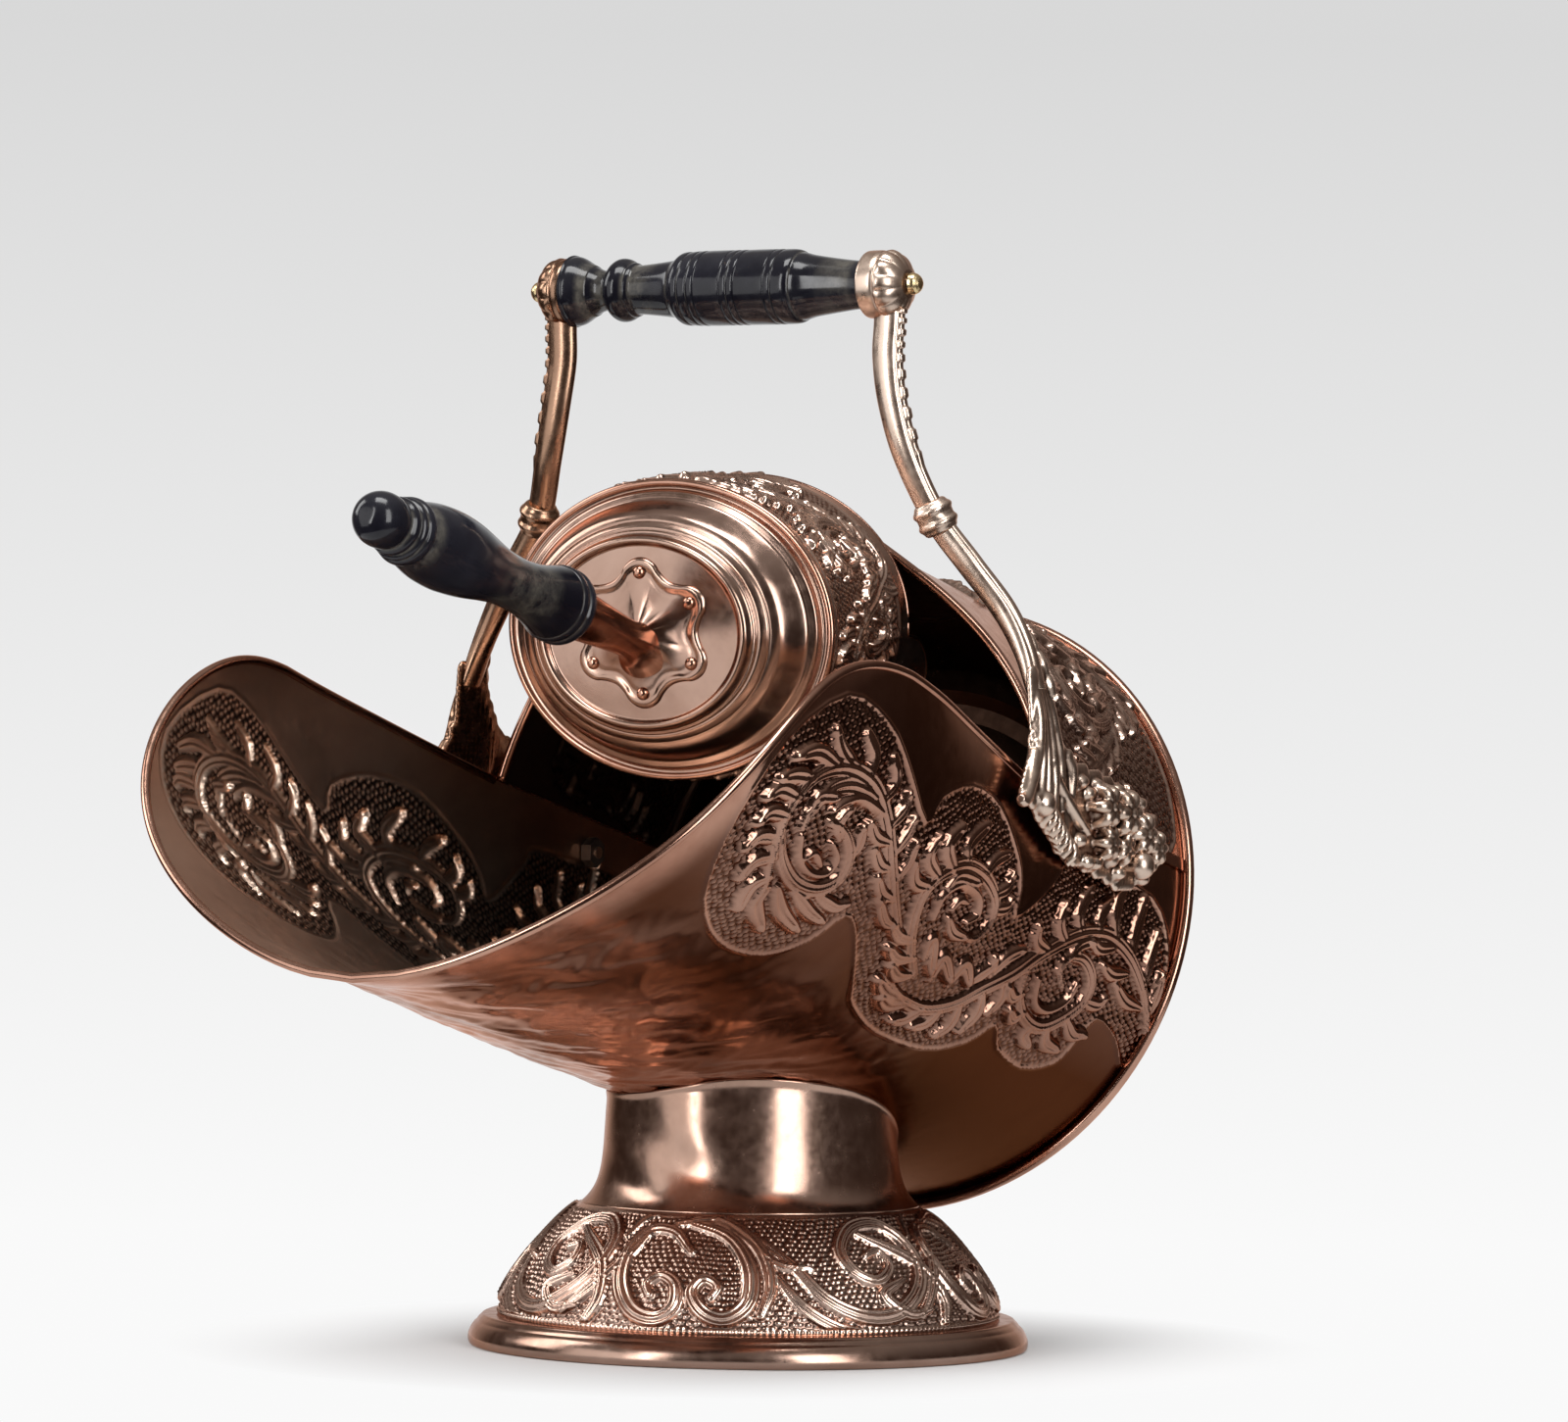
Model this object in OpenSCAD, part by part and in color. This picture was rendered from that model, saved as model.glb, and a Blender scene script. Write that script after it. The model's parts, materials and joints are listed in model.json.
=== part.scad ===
// Helmet coal scuttle on a round foot, with a bail handle and its scoop.
// Millimetres, +Z up. The origin is the centre of the foot on the floor.
// -Y is the front, where the lip is, and +X is the right-hand side.
// The bucket is a tube whose axis rises towards the front; its pieces are drawn
// in the tube's own frame, where +Z runs forward along the axis from the back plate.

/* [Foot] */
// Outer radius of the rolled rim that stands on the floor
foot_r = 133; // [120:0.5:145]
// Height of the foot rim
foot_rim_h = 14.3; // [12:0.1:18]
// Height of the embossed skirt above the rim
skirt_h = 53; // [45:0.5:60]
// Radius of the neck where it meets the bucket
neck_r = 68.3; // [60:0.1:72]
// How far the neck flares out to meet the skirt
neck_flare = 12.2; // [8:0.1:16]

/* [Bucket] */
// Outer radius of the bucket at the back plate
tube_r = 148; // [140:0.5:152]
// Thickness of the sheet metal
sheet = 1.2; // [0.8:0.1:2]
// How far the axis of the bucket rises towards the front, in degrees
tube_tilt = 13; // [9:0.5:16]
// Distance of the back plate's centre behind the foot's centre
back_y = 157; // [150:0.5:165]
// Height of the back plate's centre above the floor
back_z = 206.3; // [202:0.1:220]
// Length from the back plate to the front of the lip
lip_reach = 480; // [450:1:500]
// How much the floor draws in towards the front
floor_rise = 16; // [10:0.5:20]
// How much the side walls flare out towards the front
lobe_flare = 19; // [10:0.5:24]
// Extra outward curl along the top of each side wall
lobe_curl = 6; // [0:0.5:9]
// Distance of the widest part of each side wall from the back plate
lobe_at = 325; // [300:1:345]
// How much the lip turns down along its front
lip_turn = 4.5; // [0:0.5:6]
// How far the floor is pushed in where it bears on the foot
floor_push = 13.5; // [0:0.5:14]
// Radius of the wired edge round the lip
wire_r = 2.3; // [1.8:0.1:3]
// Radius of the rolled rim round the back plate
back_roll = 2.8; // [2:0.1:3.5]

/* [Hood] */
// Length of the hood at its sides
hood_side = 157; // [145:1:163]
// Length of the hood at its crest
hood_crest = 215; // [205:1:225]
// How far the front of the hood turns up at its crest
crest_lift = 10.5; // [8:0.5:14]
// Width of the strap over the seam of hood and bucket
strap_w = 6; // [4:0.5:9]

/* [Bail] */
// Distance of the bail's pivot behind the foot's centre
pivot_y = 85; // [80:0.5:90]
// Height of the bail's pivot above the floor
pivot_z = 230.5; // [228:0.5:233]
// Distance of the grip's axis in front of the foot's centre
grip_front = 36; // [30:0.5:42]
// Height of the grip's axis above the floor
grip_z = 500; // [490:1:512]
// Distance from the middle to the inner face of each cast head
head_in = 83; // [81:0.1:86]
// Radius of each cast head
head_r = 16; // [14:0.1:17]
// Largest radius of the turned grip
grip_r = 17.8; // [16:0.1:20]
// Radius of the rod through the grip
rod_r = 3; // [2.5:0.1:3.5]
// Thickness of the cast leaf at the foot of each arm
leaf_t = 5; // [4:0.5:7]
// Radius of each pivot bolt
bolt_r = 3; // [2.5:0.1:3.5]

/* [Scoop] */
// Half the width of the scoop
scoop_a = 87; // [80:0.5:88]
// Half the height of the scoop
scoop_b = 69; // [65:0.5:71]
// Length of the embossed band round the scoop
band_l = 72; // [62:0.5:78]
// How far the blade reaches past the band
blade_l = 46; // [30:1:60]
// How far the round back stands out of the band
dish_h = 27; // [22:0.5:30]
// Slope of the scoop, higher at its mouth, in degrees
scoop_tilt = 5; // [3:0.5:7]
// Radius of the wire round the scoop's edges
scoop_wire = 2; // [1.5:0.1:2.5]
// Angle by which the handle rises from the scoop's own axis
handle_rise = 18; // [12:0.5:22]
// Length of the handle's copper socket
socket_l = 68; // [60:1:74]
// Length of the turned wooden handle
wood_l = 169; // [155:1:180]
// Largest radius of the wooden handle
wood_r = 18.6; // [16:0.1:20]
// Number of rivets in the handle's plate
rivets = 6; // [6:1:8]

/* [Hidden] */
fine = 96;
seat = 0.3;            // gap left where curved pieces lie against each other
run = 0.05;            // radial clearance of a turning fit
copper = [0.72, 0.42, 0.33];
dark_copper = [0.45, 0.27, 0.22];
bronze = [0.75, 0.58, 0.47];
yellow = [0.80, 0.66, 0.36];
ebony = [0.07, 0.07, 0.08];
steel = [0.45, 0.45, 0.46];

// ---- general functions ----
function clamp01(t) = min(1, max(0, t));
function ease(t) = let (c = clamp01(t)) c * c * (3 - 2 * c);
function unit(v) = v / norm(v);
function last(list) = list[len(list) - 1];

// One point of a smooth curve through the points p, at t from 0 to len(p) - 1.
function spline_at(p, t) =
    let (n = len(p), i = min(n - 2, floor(t)), f = t - i,
        a = p[max(0, i - 1)], b = p[i], c = p[i + 1], d = p[min(n - 1, i + 2)])
    0.5 * (2 * b + f * (c - a) + f * f * (2 * a - 5 * b + 4 * c - d)
        + f * f * f * (3 * b - a - 3 * c + d));
function spline(p, steps) = [for (k = [0:steps]) spline_at(p, k * (len(p) - 1) / steps)];

// Direction of the path p at its point i.
function heading(p, i) = unit(p[min(i + 1, len(p) - 1)] - p[max(i - 1, 0)]);

// Faces of a grid of rows by cols points that starts at point first, wound either way.
function grid_faces(rows, cols, first, flip) =
    [for (i = [0:rows - 2], j = [0:cols - 2], half = [0, 1])
        let (a = first + i * cols + j, b = a + 1, c = a + cols, d = c + 1,
            f = half == 0 ? [a, b, d] : [a, d, c])
        flip ? [f[0], f[2], f[1]] : f];

// Faces that join the edges of two grids of rows by cols points, one after the other.
function rim_faces(rows, cols) =
    let (n = rows * cols,
        loop = concat([for (j = [0:cols - 2]) j],
            [for (i = [0:rows - 2]) i * cols + cols - 1],
            [for (j = [cols - 1:-1:1]) (rows - 1) * cols + j],
            [for (i = [rows - 1:-1:1]) i * cols]),
        m = len(loop))
    [for (k = [0:m - 1], half = [0, 1])
        let (a = loop[k], b = loop[(k + 1) % m])
        half == 0 ? [a, a + n, b + n] : [a, b + n, b]];

// A sheet between two grids of points, outer and inner, each a list of rows.
module sheet_solid(outer, inner) {
    rows = len(outer);
    cols = len(outer[0]);
    polyhedron(
        points = concat([for (r = outer, p = r) p], [for (r = inner, p = r) p]),
        faces = concat(grid_faces(rows, cols, 0, false),
            grid_faces(rows, cols, rows * cols, true), rim_faces(rows, cols)));
}

// A bar along path, with an oval section of half-sizes size[i] that is square to
// the path and turned so that its first half-size lies along side[i].
module bar(path, side, size, sides = 8) {
    rings = [for (i = [0:len(path) - 1])
        let (t = heading(path, i), v = unit(cross(t, side[i])), u = cross(v, t))
        [for (k = [0:sides - 1])
            let (a = 360 * (k + 0.5) / sides)
            path[i] + size[i][0] * cos(a) * u + size[i][1] * sin(a) * v]];
    n = len(path);
    polyhedron(
        points = [for (r = rings, p = r) p],
        faces = concat(
            [for (i = [0:n - 2], k = [0:sides - 1], half = [0, 1])
                let (a = i * sides + k, b = i * sides + (k + 1) % sides, c = a + sides, d = b + sides)
                half == 0 ? [a, d, b] : [a, c, d]],
            [for (k = [1:sides - 2]) [0, k, k + 1]],
            [for (k = [1:sides - 2]) let (o = (n - 1) * sides) [o, o + k + 1, o + k]]));
}

// ---- the tube frame of the bucket ----
// In it X is the row's X, Y is upwards across the tube and Z runs forward along it.
module tube_frame() {
    translate([0, back_y, back_z]) rotate([90 - tube_tilt, 0, 0]) children();
}
function tube_point(phi, s, r) = [r * sin(phi), -r * cos(phi), s];
function outward(phi) = [sin(phi), -cos(phi), 0];
function to_row(p) = [p[0],
    back_y + p[1] * sin(tube_tilt) - p[2] * cos(tube_tilt),
    back_z + p[1] * cos(tube_tilt) + p[2] * sin(tube_tilt)];

// ---- shape of the bucket ----
edge_back = 99;        // angle from the bottom to the wall's edge at the ear
edge_lobe = 103;       // the same at the widest part of the wall
ear_s = hood_side + 6; // where the hood ends and the open edge begins
flare_from = 100;
flare_len = 200;
lip_round = 2.5;       // how square the corner of the lip is
lip_spread = 2.13;
push_phi = 10;         // where the floor is pushed in: angle from the bottom
push_s = 180;          // and distance from the back plate
function side_share(phi) = pow((1 - cos(1.8 * min(abs(phi), 100))) / 2, 1.6);
function bucket_r(phi, s) = tube_r
    - floor_rise * pow(clamp01(s / lip_reach), 0.7) * (1 - side_share(phi))
    + lobe_flare * ease((s - flare_from) / flare_len) * side_share(phi)
    + lobe_curl * exp(-pow((abs(phi) - edge_lobe) / 14, 2) - pow((s - lobe_at) / 55, 2))
    + lip_turn * exp(-pow(phi / 38, 2)) * ease((s - lip_reach + 50) / 50)
    - floor_push * exp(-pow((phi - push_phi) / 21, 2) - pow((s - push_s) / 62, 2));
function edge_phi(s) = edge_back
    + (edge_lobe - edge_back) * clamp01((s - ear_s) / (lobe_at - ear_s));
function lip_s(t) = lobe_at
    + (lip_reach - lobe_at) * pow(max(0, 1 - pow(abs(t), lip_spread)), 1 / lip_round);
wall_cols = 22;
wall_rows = 18;
function wall_t(k) = let (v = k / wall_cols) sign(v) * (1 - pow(1 - abs(v), 1.5));
function wall_grid(inset) = [for (j = [0:wall_rows])
    [for (k = [-wall_cols:wall_cols])
        let (t = wall_t(k), s = lip_s(t) * j / wall_rows, phi = t * edge_phi(s))
        tube_point(phi, s, bucket_r(phi, s) - inset)]];

// The open edge of the wall: from the left ear over both lobes to the right ear.
edge_rows = 12;
function lip_half(dir) = [for (k = [1:wall_cols]) let (t = wall_t(k)) [dir * edge_lobe * t, lip_s(t)]];
function top_half(dir) = [for (k = [1:edge_rows])
    let (s = lobe_at + (ear_s + seat - lobe_at) * k / edge_rows) [dir * edge_phi(s), s]];
function reversed(list) = [for (k = [len(list) - 1:-1:0]) list[k]];
lip_path = concat(reversed(top_half(-1)), reversed(lip_half(-1)), [[0, lip_s(0)]], lip_half(1), top_half(1));

// ---- shape of the hood, with psi the angle from its crest ----
hood_span = 180 - edge_back - 0.4;
function hood_s(psi) = hood_side + (hood_crest - hood_side) * exp(-pow(abs(psi) / 44, 3));
function hood_r(psi, s) = tube_r
    + lobe_flare * ease((s - flare_from) / flare_len) * ease((abs(psi) - 30) / 50)
    + (crest_lift * exp(-pow(psi / 20, 2)) + 0.5) * ease((s - hood_s(psi) + 45) / 45);
hood_cols = 18;
hood_rows = 10;
function hood_psi(k) = hood_span * k / hood_cols;
function hood_grid(inset) = [for (j = [0:hood_rows])
    [for (k = [-hood_cols:hood_cols])
        let (psi = hood_psi(k), s = hood_s(psi) * (1 - pow(1 - j / hood_rows, 1.3)))
        tube_point(180 - psi, s, hood_r(psi, s) - inset)]];

// ---- foot ----
skirt_top = foot_rim_h + skirt_h;
skirt_r = foot_r - 14;
neck_len = 55;
function skirt_at(t) = [skirt_r - (skirt_r - neck_r - neck_flare) * pow(t, 1.55), foot_rim_h + skirt_h * t];
function neck_at(z) = let (u = clamp01((skirt_top + neck_len - z) / neck_len))
    neck_r + neck_flare * (0.26 * u + 0.74 * pow(u, 7));

module foot_rim() {
    profile = [[-7.5, 0], [-1.5, 0], [-0.3, 1.2], [0, 3.5], [-0.9, 7], [-3.1, 10.5], [-5.3, 12.6],
        [-7, foot_rim_h], [-16, foot_rim_h], [-16, foot_rim_h - sheet], [-8, foot_rim_h - sheet],
        [-6.5, 11.5], [-4.6, 9.5], [-2.6, 6.5], [-2.2, 3.5], [-3.2, sheet], [-7.5, sheet]];
    color(copper) rotate_extrude($fn = fine) translate([foot_r, 0]) polygon(profile);
}

module foot_skirt() {
    steps = 12;
    outer = [for (k = [0:steps]) skirt_at(k / steps)];
    color(copper) rotate_extrude($fn = fine)
        polygon(concat(outer, [for (p = reversed(outer)) p - [sheet, 0]]));
}

// Height of the bucket's floor above the point x, y, found by a few rounds of correction.
function floor_z(x, y, r = tube_r, s = 180, rounds = 8) =
    let (u = -sqrt(r * r - x * x), far = (back_y - y + u * sin(tube_tilt)) / cos(tube_tilt))
    rounds == 0 ? back_z + u * cos(tube_tilt) + s * sin(tube_tilt)
        : floor_z(x, y, bucket_r(asin(x / r), far), far, rounds - 1);

// The neck runs up into the sheet of the floor, where it is soldered.
neck_cols = 64;
neck_flare_rows = 5;
neck_rows = 10;
module foot_neck() {
    flare_top = skirt_top + 16;
    function ring(j, inset) = [for (k = [0:neck_cols - 1])
        let (a = 360 * k / neck_cols, top = floor_z(neck_r * cos(a), neck_r * sin(a)) + seat,
            z = j <= neck_flare_rows ? skirt_top + (flare_top - skirt_top) * pow(j / neck_flare_rows, 1.5)
                : flare_top + (top - flare_top) * (j - neck_flare_rows) / (neck_rows - neck_flare_rows),
            r = neck_at(z) - inset)
        [r * cos(a), r * sin(a), z]];
    color(copper) tube_sheet([for (j = [0:neck_rows]) ring(j, sheet)], [for (j = [0:neck_rows]) ring(j, 0)]);
}

// ---- bucket, hood and back ----
module bolt_hole(dir) {
    translate([dir * (tube_r - 12), pivot_y, pivot_z]) rotate([0, 90 * dir, 0])
        cylinder(r = bolt_r + run, h = 30, $fn = 32);
}

module bucket() {
    color(copper) difference() {
        tube_frame() sheet_solid(wall_grid(0), wall_grid(sheet));
        for (dir = [-1, 1]) bolt_hole(dir);
    }
}

module edge_wire(path, radius) {
    points = [for (q = path) tube_point(q[0], q[1], q[2])];
    bar(points, [for (q = path) outward(q[0])], [for (q = path) [radius, radius]]);
}

module lip_wire() {
    color(copper) tube_frame()
        edge_wire([for (q = lip_path) [q[0], q[1], bucket_r(q[0], q[1]) - sheet / 2]], wire_r);
}

module hood() {
    color(copper) tube_frame() sheet_solid(hood_grid(sheet), hood_grid(0));
}

module hood_wire() {
    color(copper) tube_frame()
        edge_wire([for (k = [-hood_cols:hood_cols])
            let (psi = hood_psi(k)) [180 - psi, hood_s(psi), hood_r(psi, hood_s(psi)) - sheet / 2]], wire_r);
}

module back_plate() {
    inside = tube_r - sheet - 3 * seat;
    face = [[0, -6], [40, -6], [46, -8], [52, -6], [96, -5.5], [104, -4], [110, 0], [120, 0.5],
        [124, 0], [inside, 0]];
    color(dark_copper) tube_frame() rotate_extrude($fn = fine)
        polygon(concat(face, [for (p = reversed(face)) p + [0, sheet]]));
}

module back_rim() {
    color(copper) tube_frame() rotate_extrude($fn = fine)
        translate([tube_r + back_roll - 0.6, 0]) circle(r = back_roll, $fn = 24);
}

module seam_strap(dir) {
    half = strap_w / 2 / tube_r * 180 / PI;
    function rows(out) = [for (j = [0:10]) [for (k = [-2:2])
        let (s = back_roll + seat + (hood_side - 12) * j / 10, phi = dir * edge_back + k * half / 2)
        tube_point(phi, s, bucket_r(phi, s) + out)]];
    color(copper) tube_frame() sheet_solid(rows(seat + sheet), rows(seat));
}
module seam_strap_left() { seam_strap(-1); }
module seam_strap_right() { seam_strap(1); }

// ---- bail ----
wall_side = tube_r + 2.2;      // inner face of the leaf beside the pivot
head_l = 17;                   // how far each head reaches along the grip
leaf_yaw = 11.3;               // the leaf follows the wall outwards to the front
leaf_off = 3.5;                // starts a little further out than the foot,
leaf_roll = 4;                 // and leans in towards the arm
leaf_y = 20;                   // where leaf and foot meet
foot_yaw = 1.5;
boss_r = 9;
nut_x = tube_r - sheet - seat; // outer face of the nut inside the wall
bolt_end = wall_side + leaf_t + 7;

// Outlines in Y and Z of the cast leaf below the arm, and of the foot behind it.
leaf_outline = [[-15, 320], [-16, 300], [-20, 282], [-33, 271], [-40, 265], [-36, 259.5],
    [-26, 261], [-11, 251], [20, 235], [26, 256], [22, 281], [9, 290], [1, 305], [-3, 320]];
foot_outline = [[9, 240], [20, 235], [60, 226], [76, 221], [94, 221], [106, 227], [112, 238],
    [106, 252], [74, 269], [44, 276], [22, 281], [11, 282]];
// Middle line of the arm above the leaf, from its head down: how far over from the head
// to the leaf's side as a share, then Y and Z.
arm_line = [[0.1, -grip_front, grip_z - 8], [0.095, -36.2, 481], [0.09, -36.5, 466], [0.134, -36.5, 445],
    [0.228, -33, 420], [0.387, -24, 392], [0.619, -18, 370], [0.833, -12, 350], [0.982, -10, 331],
    [1.086, -10, 308]];
arm_path = [for (p = arm_line) [head_in + (wall_side - head_in) * p[0], p[1], p[2]]];
arm_half = [[6.5, 4.5], [6.5, 4.5], [6.5, 4.5], [6.6, 4.6], [6.8, 4.8], [7, 5], [6.8, 5.2], [6.2, 5.6],
    [5.2, 6.4], [3.6, 7.5]];
collar_at = arm_path[5];
// Middle of each fruit and its radius: forward, up and radius, from the pivot.
fruit = [[4, 15, 11], [-14, 25, 12], [-32, 28, 11], [-11, 8, 8], [20, 8, 9], [-28, 11, 9]];

module arm(dir) {
    steps = 32;
    path = spline(arm_path, steps);
    half = spline(arm_half, steps);
    color(bronze) scale([dir, 1, 1]) difference() {
        union() {
            bar(path, [for (p = path) [1, 0, 0]], half, 12);
            leaf();
            collar();
            head();
            translate([wall_side, pivot_y, pivot_z]) rotate([0, 90, 0])
                cylinder(r = boss_r, h = leaf_t + 4, $fn = 48);
            for (f = fruit)
                translate([wall_side + leaf_t, pivot_y + f[0], pivot_z + f[1]])
                    intersection() {
                        sphere(r = f[2], $fn = 32);
                        translate([0, -20, -20]) cube(40);
                    }
        }
        translate([wall_side - 20, pivot_y, pivot_z]) rotate([0, 90, 0])
            cylinder(r = bolt_r + run, h = 60, $fn = 32);
        translate([head_in - 10, -grip_front, grip_z]) rotate([0, 90, 0])
            cylinder(r = rod_r + run, h = 60, $fn = 32);
        translate([bolt_end - 0.5, pivot_y, pivot_z]) rotate([0, 90, 0])
            cylinder(r = boss_r + 1, h = 20, $fn = 48);
    }
}

module leaf() {
    translate([wall_side + leaf_off, leaf_y, pivot_z]) rotate([0, -leaf_roll, leaf_yaw]) rotate([90, 0, 90])
        linear_extrude(leaf_t) polygon([for (p = leaf_outline) p - [leaf_y, pivot_z]]);
    translate([wall_side, pivot_y, pivot_z]) rotate([0, 0, foot_yaw]) rotate([90, 0, 90])
        linear_extrude(leaf_t) polygon([for (p = foot_outline) p - [pivot_y, pivot_z]]);
}

module collar() {
    translate(collar_at) rotate([0, 138, 0]) translate([0, 0, -4]) rotate_extrude($fn = 32)
        polygon([[0, 0], [7.6, 0], [9, 1.5], [9, 4], [8, 5], [8.6, 6.5], [8, 8], [0, 8]]);
}

module head() {
    translate([head_in, -grip_front, grip_z]) rotate([0, 90, 0]) rotate_extrude($fn = 48)
        polygon([[0, 0], [head_r - 2, 0], [head_r, 2], [head_r, 5], [head_r - 1.5, 9],
            [head_r - 5, 14], [head_r - 9.5, head_l], [0, head_l]]);
}
module bail_arm_left() { arm(-1); }
module bail_arm_right() { arm(1); }

module bail_rod() {
    half = head_in + head_l + 4;
    color(steel) translate([-half, -grip_front, grip_z]) rotate([0, 90, 0])
        cylinder(r = rod_r, h = 2 * half, $fn = 32);
}

module bail_nut(dir) {
    nut_r = 5.2;
    color(yellow) translate([dir * (head_in + head_l), -grip_front, grip_z]) rotate([0, 90 * dir, 0])
        difference() {
            rotate_extrude($fn = 32) polygon(concat([[0, 0]],
                [for (a = [0:15:90]) [nut_r * cos(a), 1.5 + nut_r * sin(a)]]));
            translate([0, 0, -1]) cylinder(r = rod_r + run, h = 5 + seat, $fn = 32);
        }
}
module bail_nut_left() { bail_nut(-1); }
module bail_nut_right() { bail_nut(1); }

// Turned outline of the grip: distance along it from the middle, and radius.
grip_turning = [[-head_in + seat, 16.4], [-80, 16.2], [-77, 15], [-73, 13], [-69, 11], [-66, 9.7],
    [-62, 9.7], [-59.5, 12], [-57, 14.2], [-54, 15], [-51, 14.4], [-48, 12.6], [-46, 11.7],
    [-24, 13.8], [-20, 17.2], [-16, grip_r], [40, grip_r], [44, 17], [48, 14.4],
    [72, 11.3], [head_in - seat, 10.8]];
module bail_grip() {
    bore = rod_r + run;
    color(ebony) translate([0, -grip_front, grip_z]) rotate([0, 90, 0]) rotate_extrude($fn = 64)
        polygon(concat([for (p = grip_turning) [p[1], p[0]]],
            [[bore, last(grip_turning)[0]], [bore, grip_turning[0][0]]]));
}

module pivot_bolt(dir) {
    color(bronze) scale([dir, 1, 1]) translate([nut_x - 7, pivot_y, pivot_z]) rotate([0, 90, 0]) {
        cylinder(r = bolt_r, h = bolt_end - nut_x + 7, $fn = 32);
        translate([0, 0, bolt_end - nut_x + 7 - 0.2]) intersection() {
            sphere(r = 7, $fn = 32);
            cylinder(r = 8, h = 8, $fn = 32);
        }
    }
}
module pivot_bolt_left() { pivot_bolt(-1); }
module pivot_bolt_right() { pivot_bolt(1); }

module pivot_nut(dir) {
    color(steel) scale([dir, 1, 1]) translate([nut_x - 6, pivot_y, pivot_z]) rotate([0, 90, 0])
        difference() {
            cylinder(r = 7.5, h = 5.5, $fn = 6);
            translate([0, 0, -1]) cylinder(r = bolt_r + run, h = 8, $fn = 32);
        }
}
module pivot_nut_left() { pivot_nut(-1); }
module pivot_nut_right() { pivot_nut(1); }

// ---- scoop ----
// It hangs by its band on the crest of the hood. In its own frame X is the row's X,
// Y is upwards across it and Z runs forward from the joint of band and back.
scoop_sheet = 1;
crest = to_row(tube_point(180, hood_crest, hood_r(0, hood_crest) - sheet / 2));
hang = 7.8;            // how far the mouth of the band reaches behind the crest
rest_gap = 0.9;        // and above the wire there, which clears it at both sides too
scoop_y = crest[1] + hang - band_l * cos(scoop_tilt);
scoop_z = crest[2] + wire_r + rest_gap + scoop_sheet - scoop_b / cos(scoop_tilt)
    - (crest[1] - scoop_y) * tan(scoop_tilt);
module scoop_frame() {
    translate([0, scoop_y, scoop_z]) rotate([90 + scoop_tilt, 0, 0]) children();
}
blade_from = 84;       // angle from the bottom at which the blade's edges begin
function blade_s(phi) = band_l
    + blade_l * pow(max(0, 1 - pow(abs(phi) / blade_from, 2)), 0.5);
function scoop_point(phi, s, inset) =
    [(scoop_a - inset) * sin(phi), -(scoop_b - inset) * cos(phi), -s];
scoop_cols = 30;
scoop_rows = 8;
function scoop_phi(k) = 180 * k / scoop_cols;

module scoop_body() {
    outer = [for (j = [0:scoop_rows]) [for (k = [-scoop_cols:scoop_cols - 1])
        let (phi = scoop_phi(k)) scoop_point(phi, blade_s(phi) * j / scoop_rows, 0)]];
    inner = [for (j = [0:scoop_rows]) [for (k = [-scoop_cols:scoop_cols - 1])
        let (phi = scoop_phi(k)) scoop_point(phi, blade_s(phi) * j / scoop_rows, scoop_sheet)]];
    color(copper) scoop_frame() tube_sheet(outer, inner);
}

// A closed tube of sheet between two grids whose rows are rings.
module tube_sheet(outer, inner) {
    rows = len(outer);
    cols = len(outer[0]);
    n = rows * cols;
    polyhedron(
        points = concat([for (r = outer, p = r) p], [for (r = inner, p = r) p]),
        faces = concat(
            [for (i = [0:rows - 2], j = [0:cols - 1], half = [0, 1], side = [0, 1])
                let (o = side * n, a = o + i * cols + j, b = o + i * cols + (j + 1) % cols,
                    c = a + cols, d = b + cols, f = half == 0 ? [a, d, b] : [a, c, d])
                side == 0 ? f : reversed(f)],
            [for (j = [0:cols - 1], half = [0, 1], end = [0, 1])
                let (o = end * (rows - 1) * cols, a = o + j, b = o + (j + 1) % cols,
                    f = half == 0 ? [a, b, b + n] : [a, b + n, a + n])
                end == 0 ? f : reversed(f)]));
}

// Rings of the dished back: share of the band's size, and share of the dish's depth.
dish_rings = [[0.985, 0], [0.95, 0.03], [0.93, 0.13], [0.885, 0.2], [0.85, 0.36], [0.8, 0.62],
    [0.74, 0.72], [0.7, 0.8], [0.67, 0.84], [0.645, 0.96], [0.62, 0.98], [0.59, 0.9], [0.3, 0.9]];
module scoop_back() {
    cols = 48;
    function ring(q, drop) = [for (k = [0:cols - 1]) let (a = 360 * k / cols)
        [scoop_a * q[0] * sin(a), -scoop_b * q[0] * cos(a), dish_h * q[1] - drop]];
    rings = concat([for (q = dish_rings) ring(q, 0)], [for (q = reversed(dish_rings)) ring(q, scoop_sheet)]);
    n = len(rings);
    color(copper) scoop_frame() polyhedron(
        points = concat([for (r = rings, p = r) p], [[0, 0, dish_top], [0, 0, dish_top - scoop_sheet]]),
        faces = concat(
            [for (i = [0:n - 1], j = [0:cols - 1], half = [0, 1])
                if (i != n / 2 - 1)
                let (a = i * cols + j, b = i * cols + (j + 1) % cols,
                    c = ((i + 1) % n) * cols + j, d = ((i + 1) % n) * cols + (j + 1) % cols)
                half == 0 ? [a, d, b] : [a, c, d]],
            [for (j = [0:cols - 1]) let (o = (n / 2 - 1) * cols) [o + j, n * cols, o + (j + 1) % cols]],
            [for (j = [0:cols - 1]) let (o = (n / 2) * cols) [o + (j + 1) % cols, n * cols + 1, o + j]]));
}
dish_top = dish_h * last(dish_rings)[1];

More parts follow.
